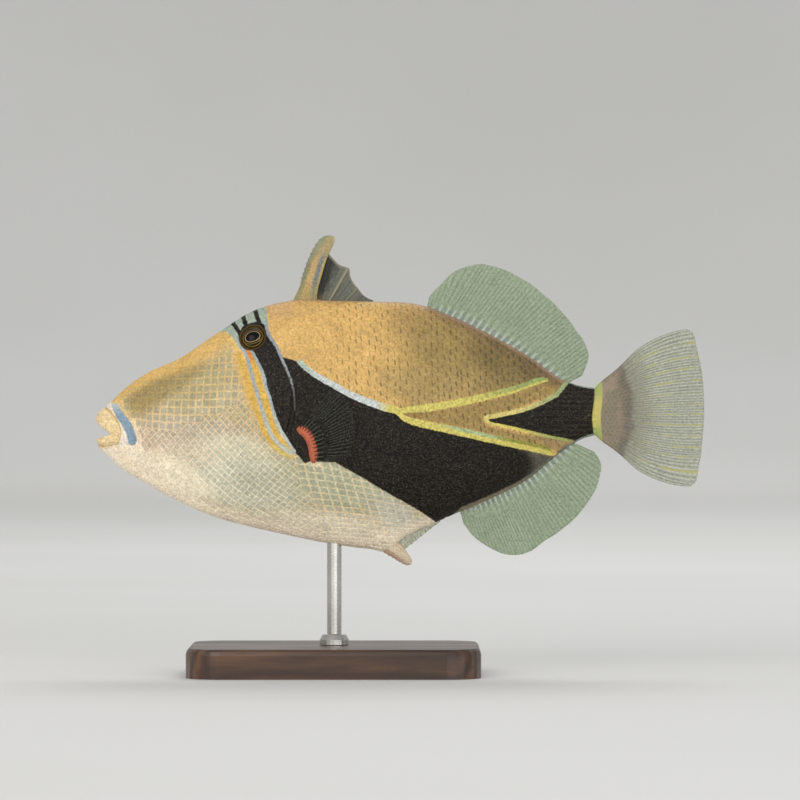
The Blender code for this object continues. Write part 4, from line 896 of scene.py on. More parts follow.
def fitLattice(controls, box, degree):  # two smooth counters, of columns and of rows, over (x, z)
    controls = np.asarray(controls, float)
    gx, gz = (g.ravel() for g in np.meshgrid(np.arange(box[0], box[1], 4.0), np.arange(box[2], box[3], 4.0)))
    rows, columns = np.radians(controls[:, 2]), np.radians(controls[:, 3])
    wanted = np.stack([np.sin(columns) / controls[:, 5], -np.cos(columns) / controls[:, 5],
                       -np.sin(rows) / controls[:, 4], np.cos(rows) / controls[:, 4]], -1)
    away = (gx[:, None] - controls[:, 0]) ** 2 + (gz[:, None] - controls[:, 1]) ** 2
    weight = 1 / (away + 15) ** 2
    wanted = (weight @ wanted) / weight.sum(1, keepdims=True)
    trust = np.sqrt(weight.max(1) / weight.max() + 0.01)
    size = 60.0
    midX, midZ = (box[0] + box[1]) / 2, (box[2] + box[3]) / 2
    _, slopeX, slopeZ = powersOf((gx - midX) / size, (gz - midZ) / size, degree)
    matrix = np.vstack([slopeX * trust[:, None], slopeZ * trust[:, None]]) / size
    found = []
    for k in (0, 2):
        target = np.concatenate([wanted[:, k] * trust, wanted[:, k + 1] * trust])
        found.append(np.linalg.lstsq(matrix, target, rcond=None)[0])

    def counters(x, z):
        value, slopeX, slopeZ = powersOf((x - midX) / size, (z - midZ) / size, degree)
        p, q = value @ found[0], value @ found[1]
        return (p, q, *(slope @ some / size for some in found for slope in (slopeX, slopeZ)))

    return counters


def unrolledBody():  # flattens each side: heights along the skin from the side line, against angle
    stations = np.arange(8.0, body["end"] + 0.26, 0.5)
    angles = np.linspace(0, math.pi, 241)
    points = bodyPoint(*np.meshgrid(stations, angles, indexing="ij"))
    steps = np.linalg.norm(np.diff(points, axis=1), axis=-1)
    run = np.concatenate([np.zeros((len(stations), 1)), np.cumsum(steps, axis=1)], axis=1)
    above, below = run[:, 120], run[:, -1] - run[:, 120]
    shares = np.linspace(-1, 1, 201)
    table = np.empty((len(stations), len(shares)))
    for k in range(len(stations)):
        height = above[k] - run[k]
        share = np.where(height >= 0, height / above[k], height / below[k])
        table[k] = np.interp(-shares, -share, angles)
    return {"stations": stations, "above": above, "below": below, "table": table,
            "side": smoothCurve(body["sideLine"], stations)[:, 2]}


unrolled = unrolledBody()


def reachOf(t, height):  # the share of the way up or down the side, over 1 beyond the ridge
    part = {k: np.interp(t, unrolled["stations"], unrolled[k]) for k in ("above", "below", "side")}
    up = height - part["side"]
    return up / np.where(up >= 0, part["above"], part["below"])


def angleAt(t, height):
    share = np.clip(reachOf(t, height), -1, 1)
    row = np.clip((t - unrolled["stations"][0]) / 0.5, 0, len(unrolled["stations"]) - 1.001)
    column = np.clip((share + 1) * 100, 0, 199.999)
    i, j = row.astype(int), column.astype(int)
    u, v = row - i, column - j
    table = unrolled["table"]
    return ((table[i, j] * (1 - u) + table[i + 1, j] * u) * (1 - v)
            + (table[i, j + 1] * (1 - u) + table[i + 1, j + 1] * u) * v)


def latticeSpots(counters, box, offP=0.0, offQ=0.0):  # where both counts are whole, or off by a half
    gx, gz = (g.ravel() for g in np.meshgrid(np.arange(box[0], box[1], 0.5), np.arange(box[2], box[3], 0.5)))
    p, q = counters(gx, gz)[:2]
    wholeP, wholeQ = np.round(p - offP) + offP, np.round(q - offQ) + offQ
    off = (p - wholeP) ** 2 + (q - wholeQ) ** 2
    key = wholeP * 4096 + wholeQ
    order = np.lexsort((off, key))
    first = order[np.unique(key[order], return_index=True)[1]]
    first = first[off[first] < 0.25]
    x, z, wholeP, wholeQ = gx[first], gz[first], wholeP[first], wholeQ[first]
    for _ in range(5):
        p, q, px, pz, qx, qz = counters(x, z)
        spin = px * qz - pz * qx
        dp, dq = wholeP - p, wholeQ - q
        x, z = x + (dp * qz - dq * pz) / spin, z + (dq * px - dp * qx) / spin
    keep = (np.abs(wholeP - counters(x, z)[0]) < 0.01) & (x > box[0]) & (x < box[1])
    return x[keep], z[keep], wholeP[keep], wholeQ[keep]


def isDiamond(x, z):
    return (z < straightCurve(scales["changeLine"], x)) & (x < straightCurve(scales["changeFront"], z))


def scaleCells(counters, box, inFace):  # (t, height, is it a diamond, its reach up, down, ahead and back)
    t, height, column, row = latticeSpots(counters, box)
    if not inFace:
        return t, height, np.zeros(len(t), bool), np.ones((len(t), 4))
    changed = isDiamond(t, height)
    known = set(zip(column[changed].tolist(), row[changed].tolist()))
    square = ~changed
    parts = [(t[square], height[square], np.zeros(square.sum(), bool), np.ones((square.sum(), 4)))]
    for offP, offQ in ((0.0, 0.5), (0.5, 0.0)):
        t, height, column, row = latticeSpots(counters, box, offP, offQ)
        before = np.array([(p - offP, q - offQ) in known for p, q in zip(column, row)])
        after = np.array([(p + offP, q + offQ) in known for p, q in zip(column, row)])
        limits = np.ones((len(t), 4))
        limits[:, 0 if offQ else 2] = after
        limits[:, 1 if offQ else 3] = before
        keep = before | after
        parts.append((t[keep], height[keep], np.ones(keep.sum(), bool), limits[keep]))
    return tuple(np.concatenate(part) for part in zip(*parts))


def keepScales(spots, size):  # no scales over the eye, nostrils, lips, gill slit, lobe and scutes
    x, z = spots[:, 0], spots[:, 2]
    away, _ = fromAxis(spots, eyeSpot, eyeOut)
    keep = (away > 6.3 + size * 0.5) & (areaField(x, z, head["bareFace"]) > 0.9)
    for at in head["nostrils"]:
        keep &= np.hypot(x - at[0], z - at[1]) > 1.0 + size * 0.45
    keep &= lineField(x, z, head["gillSlit"], 0) > 0.6 + size * 0.42
    keep &= lineField(x, z, [key[1:] for key in pectoral["root"]], 0) > 1.6 + size * 0.4
    for at in scuteSpots():
        keep &= np.hypot(x - at[0], z - at[1]) > 1.5 + size * 0.35
    return keep & (x < 205.4)


def scuteSpots():
    return [(85.2 + 3.0 * (k % 2), 16.4 - 2.8 * k) for k in range(5)]


def scalePlates(name, lattice, box, inFace, slot, seed):
    counters = fitLattice(scales[lattice], box, scales["degree"])
    t, height, diamond, limits = scaleCells(counters, box, inFace)
    px, pz, qx, qz = counters(t, height)[2:]
    spin = px * qz - pz * qx
    size = 1 / np.sqrt(np.abs(spin)) * np.where(diamond, 0.8, 1.0)
    share = np.abs(reachOf(t, height))
    room = np.where(height > 0, np.interp(t, unrolled["stations"], unrolled["above"]),
                    np.interp(t, unrolled["stations"], unrolled["below"]))
    middle = bodyPoint(t, angleAt(t, height))
    inside = (areaField(middle[:, 0], middle[:, 2], markings["face"]) < 0) == inFace
    keep = inside & (share < 1 + 0.55 * size / room) & keepScales(middle, size)
    t, height, size, diamond, limits = t[keep], height[keep], size[keep], diamond[keep], limits[keep]
    px, pz, qx, qz, spin = px[keep], pz[keep], qx[keep], qz[keep], spin[keep]
    count, sides = len(t), scales["sides"]
    random = np.random.default_rng(seed)
    turns = (np.arange(sides) + 0.5) * fullTurn / sides
    c, s = np.cos(turns), np.sin(turns)
    square = (np.abs(c) ** 7 + np.abs(s) ** 7) ** (-1 / 7) * (0.5 - scales["gap"])
    ringShare = [r for r, _ in scales["rings"]] + [1.0]
    ringHeight = [h for _, h in scales["rings"]] + [-0.45]
    a = np.concatenate([[0.0], np.concatenate([c * square * r for r in ringShare])])
    b = np.concatenate([[0.0], np.concatenate([s * square * r for r in ringShare])])
    level = np.concatenate([[1.0], np.repeat(ringHeight, sides)])
    dp = np.where(diamond[:, None], (a - b)[None] / 2, a[None])
    dq = np.where(diamond[:, None], (a + b)[None] / 2, b[None])
    dq = np.clip(dq, scales["gap"] - limits[:, 1:2], limits[:, 0:1] - scales["gap"])
    dp = np.clip(dp, scales["gap"] - limits[:, 3:4], limits[:, 2:3] - scales["gap"])
    dt = (dp * qz[:, None] - dq * pz[:, None]) / spin[:, None]
    dh = (dq * px[:, None] - dp * qx[:, None]) / spin[:, None]
    vt, vh = t[:, None] + dt, height[:, None] + dh
    vt = np.clip(vt, 8.5, body["end"] - 0.05)
    tone = random.normal(0, 1, count).clip(-2, 2)
    faces = [np.stack([np.zeros(sides, int), 1 + np.arange(sides), 1 + np.roll(np.arange(sides), -1)], -1)]
    for k in range(len(ringShare) - 1):
        here = 1 + k * sides + np.arange(sides)
        after = 1 + k * sides + np.roll(np.arange(sides), -1)
        faces.append(np.stack([here, here + sides, after + sides, after], -1))
    per = len(a)
    bottom = per - sides + np.arange(sides)[::-1]
    starts = np.arange(count)[:, None, None] * per
    dash = 0.0 if inFace else 1.0
    for left in (True, False):
        angle = angleAt(vt, vh)
        turned = angle if left else fullTurn - angle
        surface, out = bodyPoint(vt, turned), bodyNormal(vt, turned)
        rear = np.clip(dt / 1.5, -1.5, 1.5)
        lift = scales["thick"] * (level[None] - 1) + 0.008 * tone[:, None] + 0.02 * rear * (level[None] > 0)
        spots = (surface + out * lift[..., None]).reshape(-1, 3)
        flip = 1 if left else -1
        pieces = [(starts + one[None, :, ::flip]).reshape(-1, one.shape[1]) for one in faces]
        pieces.append(starts[:, :, 0] + bottom[None, ::flip])
        lean = math.radians(10)
        across = (dt * math.cos(lean) + dh * math.sin(lean)) + random.normal(0, 0.3, count)[:, None]
        along = (dh * math.cos(lean) - dt * math.sin(lean)) + random.normal(0, 0.4, count)[:, None]
        fade = (0.35 + 0.65 * ramp(t, 84, 112)) * ramp(t, 66, 84) * (1 - 0.6 * ramp(t, 180, 192)) * dash
        fade = (fade * random.uniform(0.45, 1.0, count))[:, None]
        fields = markingFields(spots)
        fields["plateAt"] = stack(a[None], b[None], tone[:, None]).reshape(-1, 3)
        fields["plateDash"] = stack(across, along, fade).reshape(-1, 3)
        rootU = (t - body["throat"]) / (body["end"] - body["throat"])
        rootAngle = angleAt(t, height)
        rootV = (rootAngle if left else fullTurn - rootAngle) / fullTurn
        flat = stack(rootU[:, None] + 0.003 * a[None], rootV[:, None] + 0.003 * b[None]).reshape(-1, 2)
        makePiece(name + ("Left" if left else "Right"), spots, pieces, scaleFinish, slot, fields,
                  flat=np.clip(flat, 0.0005, 0.9995))
    print(name, count, "scales a side,", count * per, "points")


# The fins

finForm = {"membrane": 0.16, "sink": 1.5, "wave": 1.8, "parts": 20, "rows": 46}

softDorsal = {
    "root": (135.7, 193.0),
    "rays": 24,
    "tip": ((0, 137.3, 55.6), (0.04, 141.9, 60.4), (0.08, 147.6, 65.8), (0.13, 156.4, 68.5),
            (0.2, 162.0, 68.3), (0.3, 169.8, 65.6), (0.45, 179.7, 59.8), (0.6, 189.6, 51.2),
            (0.75, 196.5, 42.8), (0.88, 201.5, 35.0), (0.95, 202.5, 29.6), (1, 199.8, 22.8)),
}
analFin = {
    "root": (149.3, 195.5),
    "rays": 21,
    "tip": ((0, 151.3, -38.2), (0.05, 155.4, -43.4), (0.1, 159.5, -46.5), (0.2, 167.4, -50.5),
            (0.3, 173.9, -51.1), (0.4, 179.3, -49.1), (0.5, 185.0, -45.0), (0.6, 191.2, -40.9),
            (0.7, 197.4, -35.5), (0.8, 202.7, -28.8), (0.9, 206.8, -20.1), (0.96, 207.6, -13.2),
            (1, 204.8, -8.6)),
}
tailFin = {
    "start": 204.8,
    "root": ((0, 17.4), (1, -1.3)),
    "rays": 14,
    "tip": ((0, 243.3, 42.0), (0.03, 245.4, 40.6), (0.1, 247.1, 34.5), (0.25, 249.2, 25.1),
            (0.4, 250.2, 14.8), (0.6, 250.1, 3.5), (0.75, 249.2, -5.8), (0.9, 247.9, -14.5),
            (0.97, 246.0, -21.6), (1, 243.8, -22.9)),
    "bow": 5.0,
    "neck": 1.5,
    "wave": 2.2,
}
pectoral = {
    "root": ((0, 83.6, 1.0), (0.35, 87.3, -1.6), (0.65, 89.2, -5.8), (1, 89.8, -12.0)),
    "tip": ((0, 95.6, 15.6), (0.08, 98.2, 16.6), (0.25, 102.8, 13.9), (0.5, 106.5, 4.9),
            (0.75, 106.2, -3.5), (0.92, 103.6, -10.4), (1, 100.4, -12.2)),
    "rays": 13,
    "spread": 0.46,
    "lobeHalf": 1.9,
    "lobeHeight": 1.7,
}
spineFin = {
    "root": ((0, 90.2), (0.4, 95.0), (0.7, 101.5), (1, 113.6)),
    "tip": ((0, 94.6, 74.2), (0.12, 97.2, 71.2), (0.26, 100.2, 68.3), (0.37, 103.0, 67.3),
            (0.41, 103.9, 67.0), (0.5, 104.5, 63.9), (0.6, 105.8, 61.0), (0.7, 107.5, 58.9),
            (0.85, 110.3, 55.6), (1, 114.0, 53.7)),
    "spines": ((0.4, 0.85), (0.7, 0.62)),
}
flap = {
    "root": (122.6, 140.6),
    "rays": 9,
    "tip": ((0, 125.9, -49.6), (0.15, 128.2, -47.8), (0.35, 131.4, -45.3), (0.65, 136.2, -41.4),
            (1, 141.6, -37.3)),
}


def rayGroup():  # pale rays that part in two and again in two, and a thin dark line between them
    board, given, out = newGroup("finRays", {"Bays": 23.0, "First Fork": 0.14, "Second Fork": 2.0},
                                 {"Ray": "Float", "Line": "Float", "First": "Float"})
    reach = board.field("reach")
    turn = board.times(board.times(board.field("across"), given["Bays"]), fullTurn)
    wave = first = board.sum("COSINE", turn)
    for fork, times in (("First Fork", 2.0), ("Second Fork", 4.0)):
        share = board.spread(reach, given[fork], board.plus(given[fork], 0.2))
        finer = board.times(board.sum("COSINE", board.times(turn, times)), -1.0)
        wave = board.sum("MULTIPLY_ADD", share, board.minus(finer, wave), wave)
    board.feed(out.inputs["Ray"], board.spread(wave, 0.1, 1.0))
    thin = board.spread(reach, 0.1, 0.9, -0.92, -0.78, "LINEAR")
    board.feed(out.inputs["Line"], board.spread(wave, thin, -1.0))
    board.feed(out.inputs["First"], first)
    return board.tree


finRays = rayGroup()


def finTints(*colours):
    labels = ("Membrane", "Ray", "Line", "Foot", "Patch")
    return {label: paint(*colour) for label, colour in zip(labels, colours)}


sageTints = finTints(
    (0.57, 0.62, 0.52), (0.61, 0.66, 0.56), (0.40, 0.46, 0.36), (0.72, 0.75, 0.69), (0.49, 0.54, 0.54))


def finGroup():  # the colours of a fin's membrane, its foot, its rays and the lines between them
    values = {"Ray Mask": 0.0, "Line Mask": 0.0, **sageTints, "Foot Reach": 0.24}
    board, given, out = newGroup("finPaint", values,
                                 {"Color": "Color", "Roughness": "Float", "Height": "Float"})
    grain = board.use(skinGrain, {"Fine": 1.3}).outputs
    reach = board.field("reach")
    dashes = board.spread(board.noise(board.vector("spot"), 0.7, 2.0), 0.35, 0.6, 0.3, 1.0)
    dashes = board.times(dashes, board.spread(reach, 0.95, 0.7, 0.6, 1.0))
    colour = board.blend(board.times(given["Ray Mask"], 0.6), given["Membrane"], given["Ray"])
    colour = board.blend(board.times(given["Line Mask"], dashes), colour, given["Line"])
    patch = board.times(board.spread(reach, 0.03, 0.07), board.spread(reach, 0.17, 0.1))
    between = board.spread(given["Ray Mask"], 0.5, 0.1)
    patch = board.times(board.times(patch, between), 0.55)
    colour = board.blend(patch, colour, given["Patch"])
    pale = board.times(given["Ray Mask"], board.spread(reach, given["Foot Reach"], 0.05))
    colour = board.blend(pale, colour, given["Foot"])
    board.feed(out.inputs["Color"], board.scale(colour, grain["Tone"]))
    board.feed(out.inputs["Roughness"], board.spread(grain["Bumps"], 0.2, 0.8, 0.42, 0.6, "LINEAR"))
    joints = board.sum("SINE", board.times(reach, 190.0))
    ridged = board.times(board.times(joints, given["Ray Mask"]), 0.3)
    board.feed(out.inputs["Height"], board.plus(ridged, grain["Bumps"]))
    return board.tree


finPaint = finGroup()


def finMaterial(name, colours, rays=(), extra=None):
    material, board, shader = newMaterial(name, {"Specular IOR Level": 0.25})
    pattern = board.use(finRays, rays).outputs
    masks = {"Ray Mask": pattern["Ray"], "Line Mask": pattern["Line"]}
    painted = board.use(finPaint, {**masks, **colours}).outputs
    colour = extra(board, shader, painted["Color"], pattern) if extra else painted["Color"]
    dress(board, shader, colour, painted["Roughness"], painted["Height"], 0.00008, 0.8)
    return material


def rayLines(a, b, rays, forks=(0.14,), sharp=1.0):  # 1 along the rays, 0 between them
    turn = fullTurn * a * (rays - 1)
    wave = np.cos(turn)
    for k, start in enumerate(forks):
        wave = wave - (np.cos(turn * 2 ** (k + 1)) + wave) * ramp(b, start, start + 0.2)
    return ((1 + wave) / 2) ** sharp


def finShape(middle, half, columns, rows):
    a, b = np.meshgrid(columns, rows, indexing="ij")
    nudge = 0.003
    here = middle(a, b)
    along = middle(np.minimum(a + nudge, 1), b) - middle(np.maximum(a - nudge, 0), b)
    outward = middle(a, np.minimum(b + nudge, 1)) - middle(a, np.maximum(b - nudge, 0))
    off = unit(np.cross(along, outward)) * half(a, b)[..., None]
    spots = np.concatenate([(here + off).reshape(-1, 3), (here - off).reshape(-1, 3)])
    return spots, sheetFaces(len(columns), len(rows)), np.tile(a.ravel(), 2), np.tile(b.ravel(), 2)


def finColumns(rays, parts=None):
    return np.linspace(0, 1, (rays - 1) * (parts or finForm["parts"]) + 1)


def finRows():
    return np.linspace(0, 1, finForm["rows"]) ** 0.95


def toward(start, end, share):
    return start + (end - start) * share


def buildMedianFin(name, values, line, upward, finish, node, seed):
    random = np.random.default_rng(seed)
    uneven = random.uniform(-0.006, 0.006, values["rays"] + 1)
    rays = values["rays"]

    def middle(a, b):
        x = toward(*values["root"], a)
        rootZ = smoothCurve(line, x)[..., 1] - upward * finForm["sink"]
        tip = smoothCurve(values["tip"], a)
        bay = a * (rays - 1)
        edge = 0.006 * np.cos(8 * math.pi * a * (rays - 1)) + np.interp(bay, np.arange(rays + 1), uneven)
        reach = b * (1 - b**6 * (0.006 + edge))
        sway = upward * finForm["wave"] * np.sin(2.2 * math.pi * a + 0.6) * b * b
        sway = sway + 0.08 * np.cos(fullTurn * a * (rays - 1)) * b
        return stack(toward(x, tip[..., 0], reach), sway, toward(rootZ, tip[..., 1], reach))

    def half(a, b):
        foot = 0.8 * np.maximum(0, 1 - b / 0.1)
        ridge = rayLines(a, b, rays) * (0.34 - 0.22 * b)
        return (finForm["membrane"] + foot + ridge) * (1 - 0.6 * ramp(b, 0.97, 1.0))

    spots, faces, a, b = finShape(middle, half, finColumns(rays), finRows())
    makePiece(name, spots, faces, finish, "soft_fin", {"reach": b, "across": a}, standsFor=(node,))


tailForks = (0.05, 0.28)


def buildTailFin(finish):
    start, rays = tailFin["start"], tailFin["rays"]
    footHalf = float(smoothCurve(body["sideLine"], body["end"])[1])

    def middle(a, b):
        rootZ = straightCurve(tailFin["root"], a)
        tip = smoothCurve(tailFin["tip"], a)
        neck = tailFin["neck"] * np.sin(fullTurn * np.minimum(b, 0.5)) ** 2
        bow = (tailFin["bow"] * 4 * b * (1 - b) - neck) * (1 - 2 * a)
        sway = tailFin["wave"] * np.sin(1.5 * math.pi * a) * b * b
        sway = sway + 0.1 * np.cos(fullTurn * a * (rays - 1)) * b
        reach = b * (1 - b**8 * 0.004 * (1 + np.cos(8 * math.pi * a * (rays - 1))))
        return stack(toward(start, tip[..., 0], reach), sway, toward(rootZ, tip[..., 1], reach) + bow)

    def half(a, b):
        oval = footHalf * np.sqrt(np.maximum(0, 1 - (2 * a - 1) ** 2))
        flesh = np.maximum(0, 1 - b / 0.36)
        raised = rayLines(a, b, rays, tailForks) * (0.36 - 0.22 * b) * ramp(b, 0.06, 0.3)
        return (finForm["membrane"] + oval * flesh**1.4 + raised) * (1 - 0.6 * ramp(b, 0.98, 1.0))

    spots, faces, a, b = finShape(middle, half, finColumns(rays, 28), np.linspace(0, 1, 60))
    makePiece("tailFinSkin", spots, faces, finish, "tail_fin", {"reach": b, "across": a},
              standsFor=("caudal_fin",))


def mirrorSide(shape, side):  # left-side points to side 1, and their faces turned
    spots, faces = shape[:2]
    if side < 0:
        return spots, faces
    return spots * (1, -1, 1), [some[:, ::-1] for some in faces]


def buildPectoral(side, finish, lobeFinish):
    rays = pectoral["rays"]

    def middle(a, b):
        x, z = np.moveaxis(smoothCurve(pectoral["root"], a), -1, 0)
        base, _ = flankSpot(x, z)
        tipX, tipZ = np.moveaxis(smoothCurve(pectoral["tip"], a), -1, 0)
        length = np.hypot(tipX - base[..., 0], tipZ - base[..., 2])
        away = length * (pectoral["spread"] * b - 0.12 * b * b)
        bay = np.abs((a * (rays - 1) + 0.5) % 1 - 0.5)
        reach = b * (1 - b**6 * 0.05 * bay)
        ripple = 0.14 * np.cos(fullTurn * a * (rays - 1)) * b
        return stack(toward(base[..., 0], tipX, reach), base[..., 1] - away + ripple,
                     toward(base[..., 2], tipZ, reach))

    def half(a, b):
        ridge = rayLines(a, b, rays, (), 3.0)
        return 0.08 + ridge * (0.26 - 0.16 * b) + 0.4 * np.maximum(0, 1 - b / 0.1)

    spots, faces, a, b = finShape(middle, half, finColumns(rays, 16), np.linspace(0, 1, 34))
    spots, faces = mirrorSide((spots, faces), side)
    word = "Left" if side < 0 else "Right"
    node = "pectoral_fin_" + word.lower()
    makePiece("pectoralFan" + word, spots, faces, finish, "pectoral", {"reach": b, "across": a},
              standsFor=(node,))
    at, turns = np.linspace(-0.05, 1.05, 90), ringTurns(40)
    x, z = np.moveaxis(smoothCurve(pectoral["root"], at), -1, 0)
    here, out = flankSpot(x, z)
    along = unit(np.gradient(here, axis=0))
    wide = unit(np.cross(out, along))
    taper = np.sqrt(np.maximum(0.03, 1 - np.abs(2 * (at + 0.05) / 1.1 - 1) ** 5))[:, None, None]
    outer = np.maximum(0, np.cos(turns - 0.3))[None, :, None]
    grooves = 1 + 0.07 * np.cos(fullTurn * at * (rays - 1))[:, None, None] * outer
    ring = (wide[:, None] * np.cos(turns)[None, :, None] * pectoral["lobeHalf"]
            + out[:, None] * np.sin(turns)[None, :, None] * pectoral["lobeHeight"])
    lobe = here[:, None] + ring * taper * grooves
    quads = gridFaces(40, 90, closed=True)
    spots = np.swapaxes(lobe, 0, 1).reshape(-1, 3)
    reach = np.broadcast_to(np.cos(turns)[:, None], (40, 90)).ravel()
    across = np.broadcast_to(at[None], (40, 90)).ravel()
    spots, faces = mirrorSide((spots, [quads]), side)
    fields = {"reach": reach, "across": across}
    makePiece("pectoralLobe" + word, spots, faces, lobeFinish, "pectoral", fields)


def spineFinShape():
    def middle(a, b):
        x = smoothCurve(spineFin["root"], a)[..., 0]
        rootZ = smoothCurve(body["topLine"], x)[..., 1] - finForm["sink"]
        tip = smoothCurve(spineFin["tip"], a)
        sway = 0.9 * np.sin(math.pi * a) * b * (1 - b)
        folds = 0.22 * np.sin(a * 46) * np.sin(math.pi * b)
        return stack(toward(x, tip[..., 0], b), sway + folds, toward(rootZ, tip[..., 1], b))

    def half(a, b):
        total = 0.2 + 0.5 * np.maximum(0, 1 - b / 0.12)
        for at, size in spineFin["spines"]:
            total = total + np.sqrt(np.clip(1 - ((a - at) / 0.024) ** 2, 0, 1)) * size * (1 - 0.6 * b)
        return total * (1 - 0.5 * ramp(b, 0.97, 1))

    spots, faces, a, b = finShape(middle, half, np.linspace(0, 1, 220), np.linspace(0, 1, 48))
    return spots, faces, {"reach": b, "across": a}


def flapShape():
    rays = flap["rays"]

    def middle(a, b):
        x = toward(*flap["root"], a)
        rootZ = smoothCurve(body["bottomLine"], x)[..., 1] + finForm["sink"]
        tip = smoothCurve(flap["tip"], a)
        bay = np.abs((a * (rays - 1) + 0.5) % 1 - 0.5)
        reach = b * (1 - b**4 * 0.12 * bay)
        pleat = 0.25 * np.cos(fullTurn * a * (rays - 1)) * b
        return stack(toward(x, tip[..., 0], reach), pleat, toward(rootZ, tip[..., 1], reach))

    def half(a, b):
        return 0.6 - 0.3 * b + rayLines(a, b, rays, (0.5,)) * 0.4

    spots, faces, a, b = finShape(middle, half, finColumns(rays, 14), np.linspace(0, 1, 26))
    return spots, faces, {"reach": b, "across": a}


# The spines

trigger = {
    "front": ((0, 79.6, 50.6), (0.05, 81.6, 55.0), (0.1, 83.0, 57.8), (0.3, 84.8, 63.5), (0.5, 86.6, 68.9),
              (0.7, 88.9, 74.1), (0.85, 91.2, 77.9), (0.95, 93.4, 79.9), (1, 95.4, 80.5)),
    "rear": ((0, 91.2, 50.6), (0.1, 91.0, 55.5), (0.3, 92.5, 62.3), (0.5, 94.4, 69.0), (0.7, 96.2, 73.5),
             (0.85, 97.7, 76.8), (0.95, 98.2, 78.8), (1, 97.8, 80.0)),
    "half": ((0, 2.7), (0.3, 2.2), (0.7, 1.6), (0.9, 1.1), (1, 0.7)),
    "teeth": 13,
    "tooth": 0.4,
}
pelvic = {
    "front": ((0, 113.5, -44.5), (0.25, 118.2, -49.6), (0.5, 122.1, -52.1), (0.75, 125.2, -54.0),
              (0.92, 127.4, -55.0), (1, 128.9, -55.1)),
    "rear": ((0, 121.0, -41.5), (0.25, 123.6, -44.9), (0.5, 126.2, -47.3), (0.75, 128.4, -50.4),
             (0.92, 129.9, -53.0), (1, 130.0, -54.3)),
    "half": ((0, 2.9), (0.5, 2.2), (0.85, 1.5), (1, 0.8)),
    "teeth": 9,
    "tooth": 0.3,
}
bladeSection = ((0, 0), (0.03, 0.3), (0.1, 0.6), (0.25, 0.9), (0.42, 1), (0.62, 0.97), (0.8, 0.86),
                (0.93, 0.66), (1, 0.42), (0.96, 0.2), (0.86, 0), (0.96, -0.2), (1, -0.42), (0.93, -0.66),
                (0.8, -0.86), (0.62, -0.97), (0.42, -1), (0.25, -0.9), (0.1, -0.6), (0.03, -0.3))


def roundedLoop(corners, passes=2):
    loop = np.asarray(corners, float)
    for _ in range(passes):
        after = np.roll(loop, -1, axis=0)
        loop = np.stack([loop * 0.75 + after * 0.25, loop * 0.25 + after * 0.75], 1).reshape(-1, 2)
    return loop


def bladeShape(values, rows=150):
    section = roundedLoop(bladeSection)
    u, v = section[:, 0], section[:, 1]
    s = np.linspace(0, 1, rows)
    front, rear = smoothCurve(values["front"], s), smoothCurve(values["rear"], s)
    reach = unit(rear - front)
    thick = straightCurve(values["half"], s)
    phase = s * values["teeth"] * fullTurn
    jut = np.maximum(0, -np.cos(phase)) ** 1.5 * values["tooth"] * ramp(s, 0.1, 0.18)
    jut = jut * (1 - ramp(s, 0.93, 1))
    atFront = np.clip(1 - u / 0.16, 0, 1) ** 1.5
    rib = 0.05 * np.cos(np.pi * 13 * u) * (1 - atFront)
    grit = 0.10 * np.maximum(0, np.sin(phase[:, None] * 2.5 + 7 * u[None]))
    grit = grit * (np.abs(v) > 0.3)[None] * (u < 0.5)[None]
    across = (v * (1 + rib))[None] * thick[:, None] + np.sign(v)[None] * grit
    spots = front[:, None] + (rear - front)[:, None] * u[None, :, None]
    spots = spots - reach[:, None] * (jut[:, None] * atFront[None])[..., None]
    grid = np.stack([spots[..., 0], across, spots[..., 1]], -1)
    count = len(u)
    flatGrid = grid.reshape(-1, 3)
    at, after, quads = ringGrid(rows, count)
    low, high = len(flatGrid), len(flatGrid) + 1
    tip = grid[-1].mean(0) + (grid[-1].mean(0) - grid[-4].mean(0)) * 0.25
    flatGrid = np.vstack([flatGrid, grid[0].mean(0), tip])
    caps = np.vstack([fan(at[0], after[0], low), fan(after[-1], at[-1], high)])
    reachField = np.append(np.repeat(s, count), (0, 1))
    acrossField = np.append(np.tile(u, rows), (0.5, 0.5))
    return flatGrid, [quads[:, [0, 3, 2, 1]], caps], {"reach": reachField, "across": acrossField}


def spineMaterial(name, stops, foot, top):
    material, board, shader = newMaterial(name, {"Specular IOR Level": 0.25})
    across, reach = board.field("across"), board.field("reach")
    where = board.vector("spot")
    wobble = board.spread(board.noise(where, 1.4, 2.0), 0.2, 0.8, -0.09, 0.09, "LINEAR")
    at = board.plus(across, wobble)
    colour = stops[0][1]
    for (before, _), (place, tint) in zip(stops, stops[1:]):
        half = (before + place) / 2
        colour = board.blend(board.spread(at, half - 0.1, half + 0.1), colour, tint)
    upper = board.blend(board.spread(at, 0.25, 0.55), top, board.blend(0.5, top, stops[1][1]))
    colour = board.blend(board.spread(reach, 0.5, 0.78), colour, upper)
    colour = board.blend(board.spread(reach, 0.05, 0.3, 0.7, 0.0), colour, foot)
    # Painted shade: fine lines along the spine, its own colour darkened to 55%, shade in its grooves
    grooves = board.spread(board.sum("SINE", board.times(at, 60.0)), 0.3, 1.0, 0.0, 0.24)
    colour = board.blend(grooves, colour, board.scale(colour, 0.55))
    grain = board.use(skinGrain, {"Fine": 1.6, "Slow": 0.3}).outputs
    roughness = board.spread(grain["Bumps"], 0.2, 0.8, 0.48, 0.7, "LINEAR")
    dress(board, shader, board.scale(colour, grain["Tone"]), roughness, grain["Bumps"], 0.00015)
    return material


# Eyes, teeth, thorns and scutes


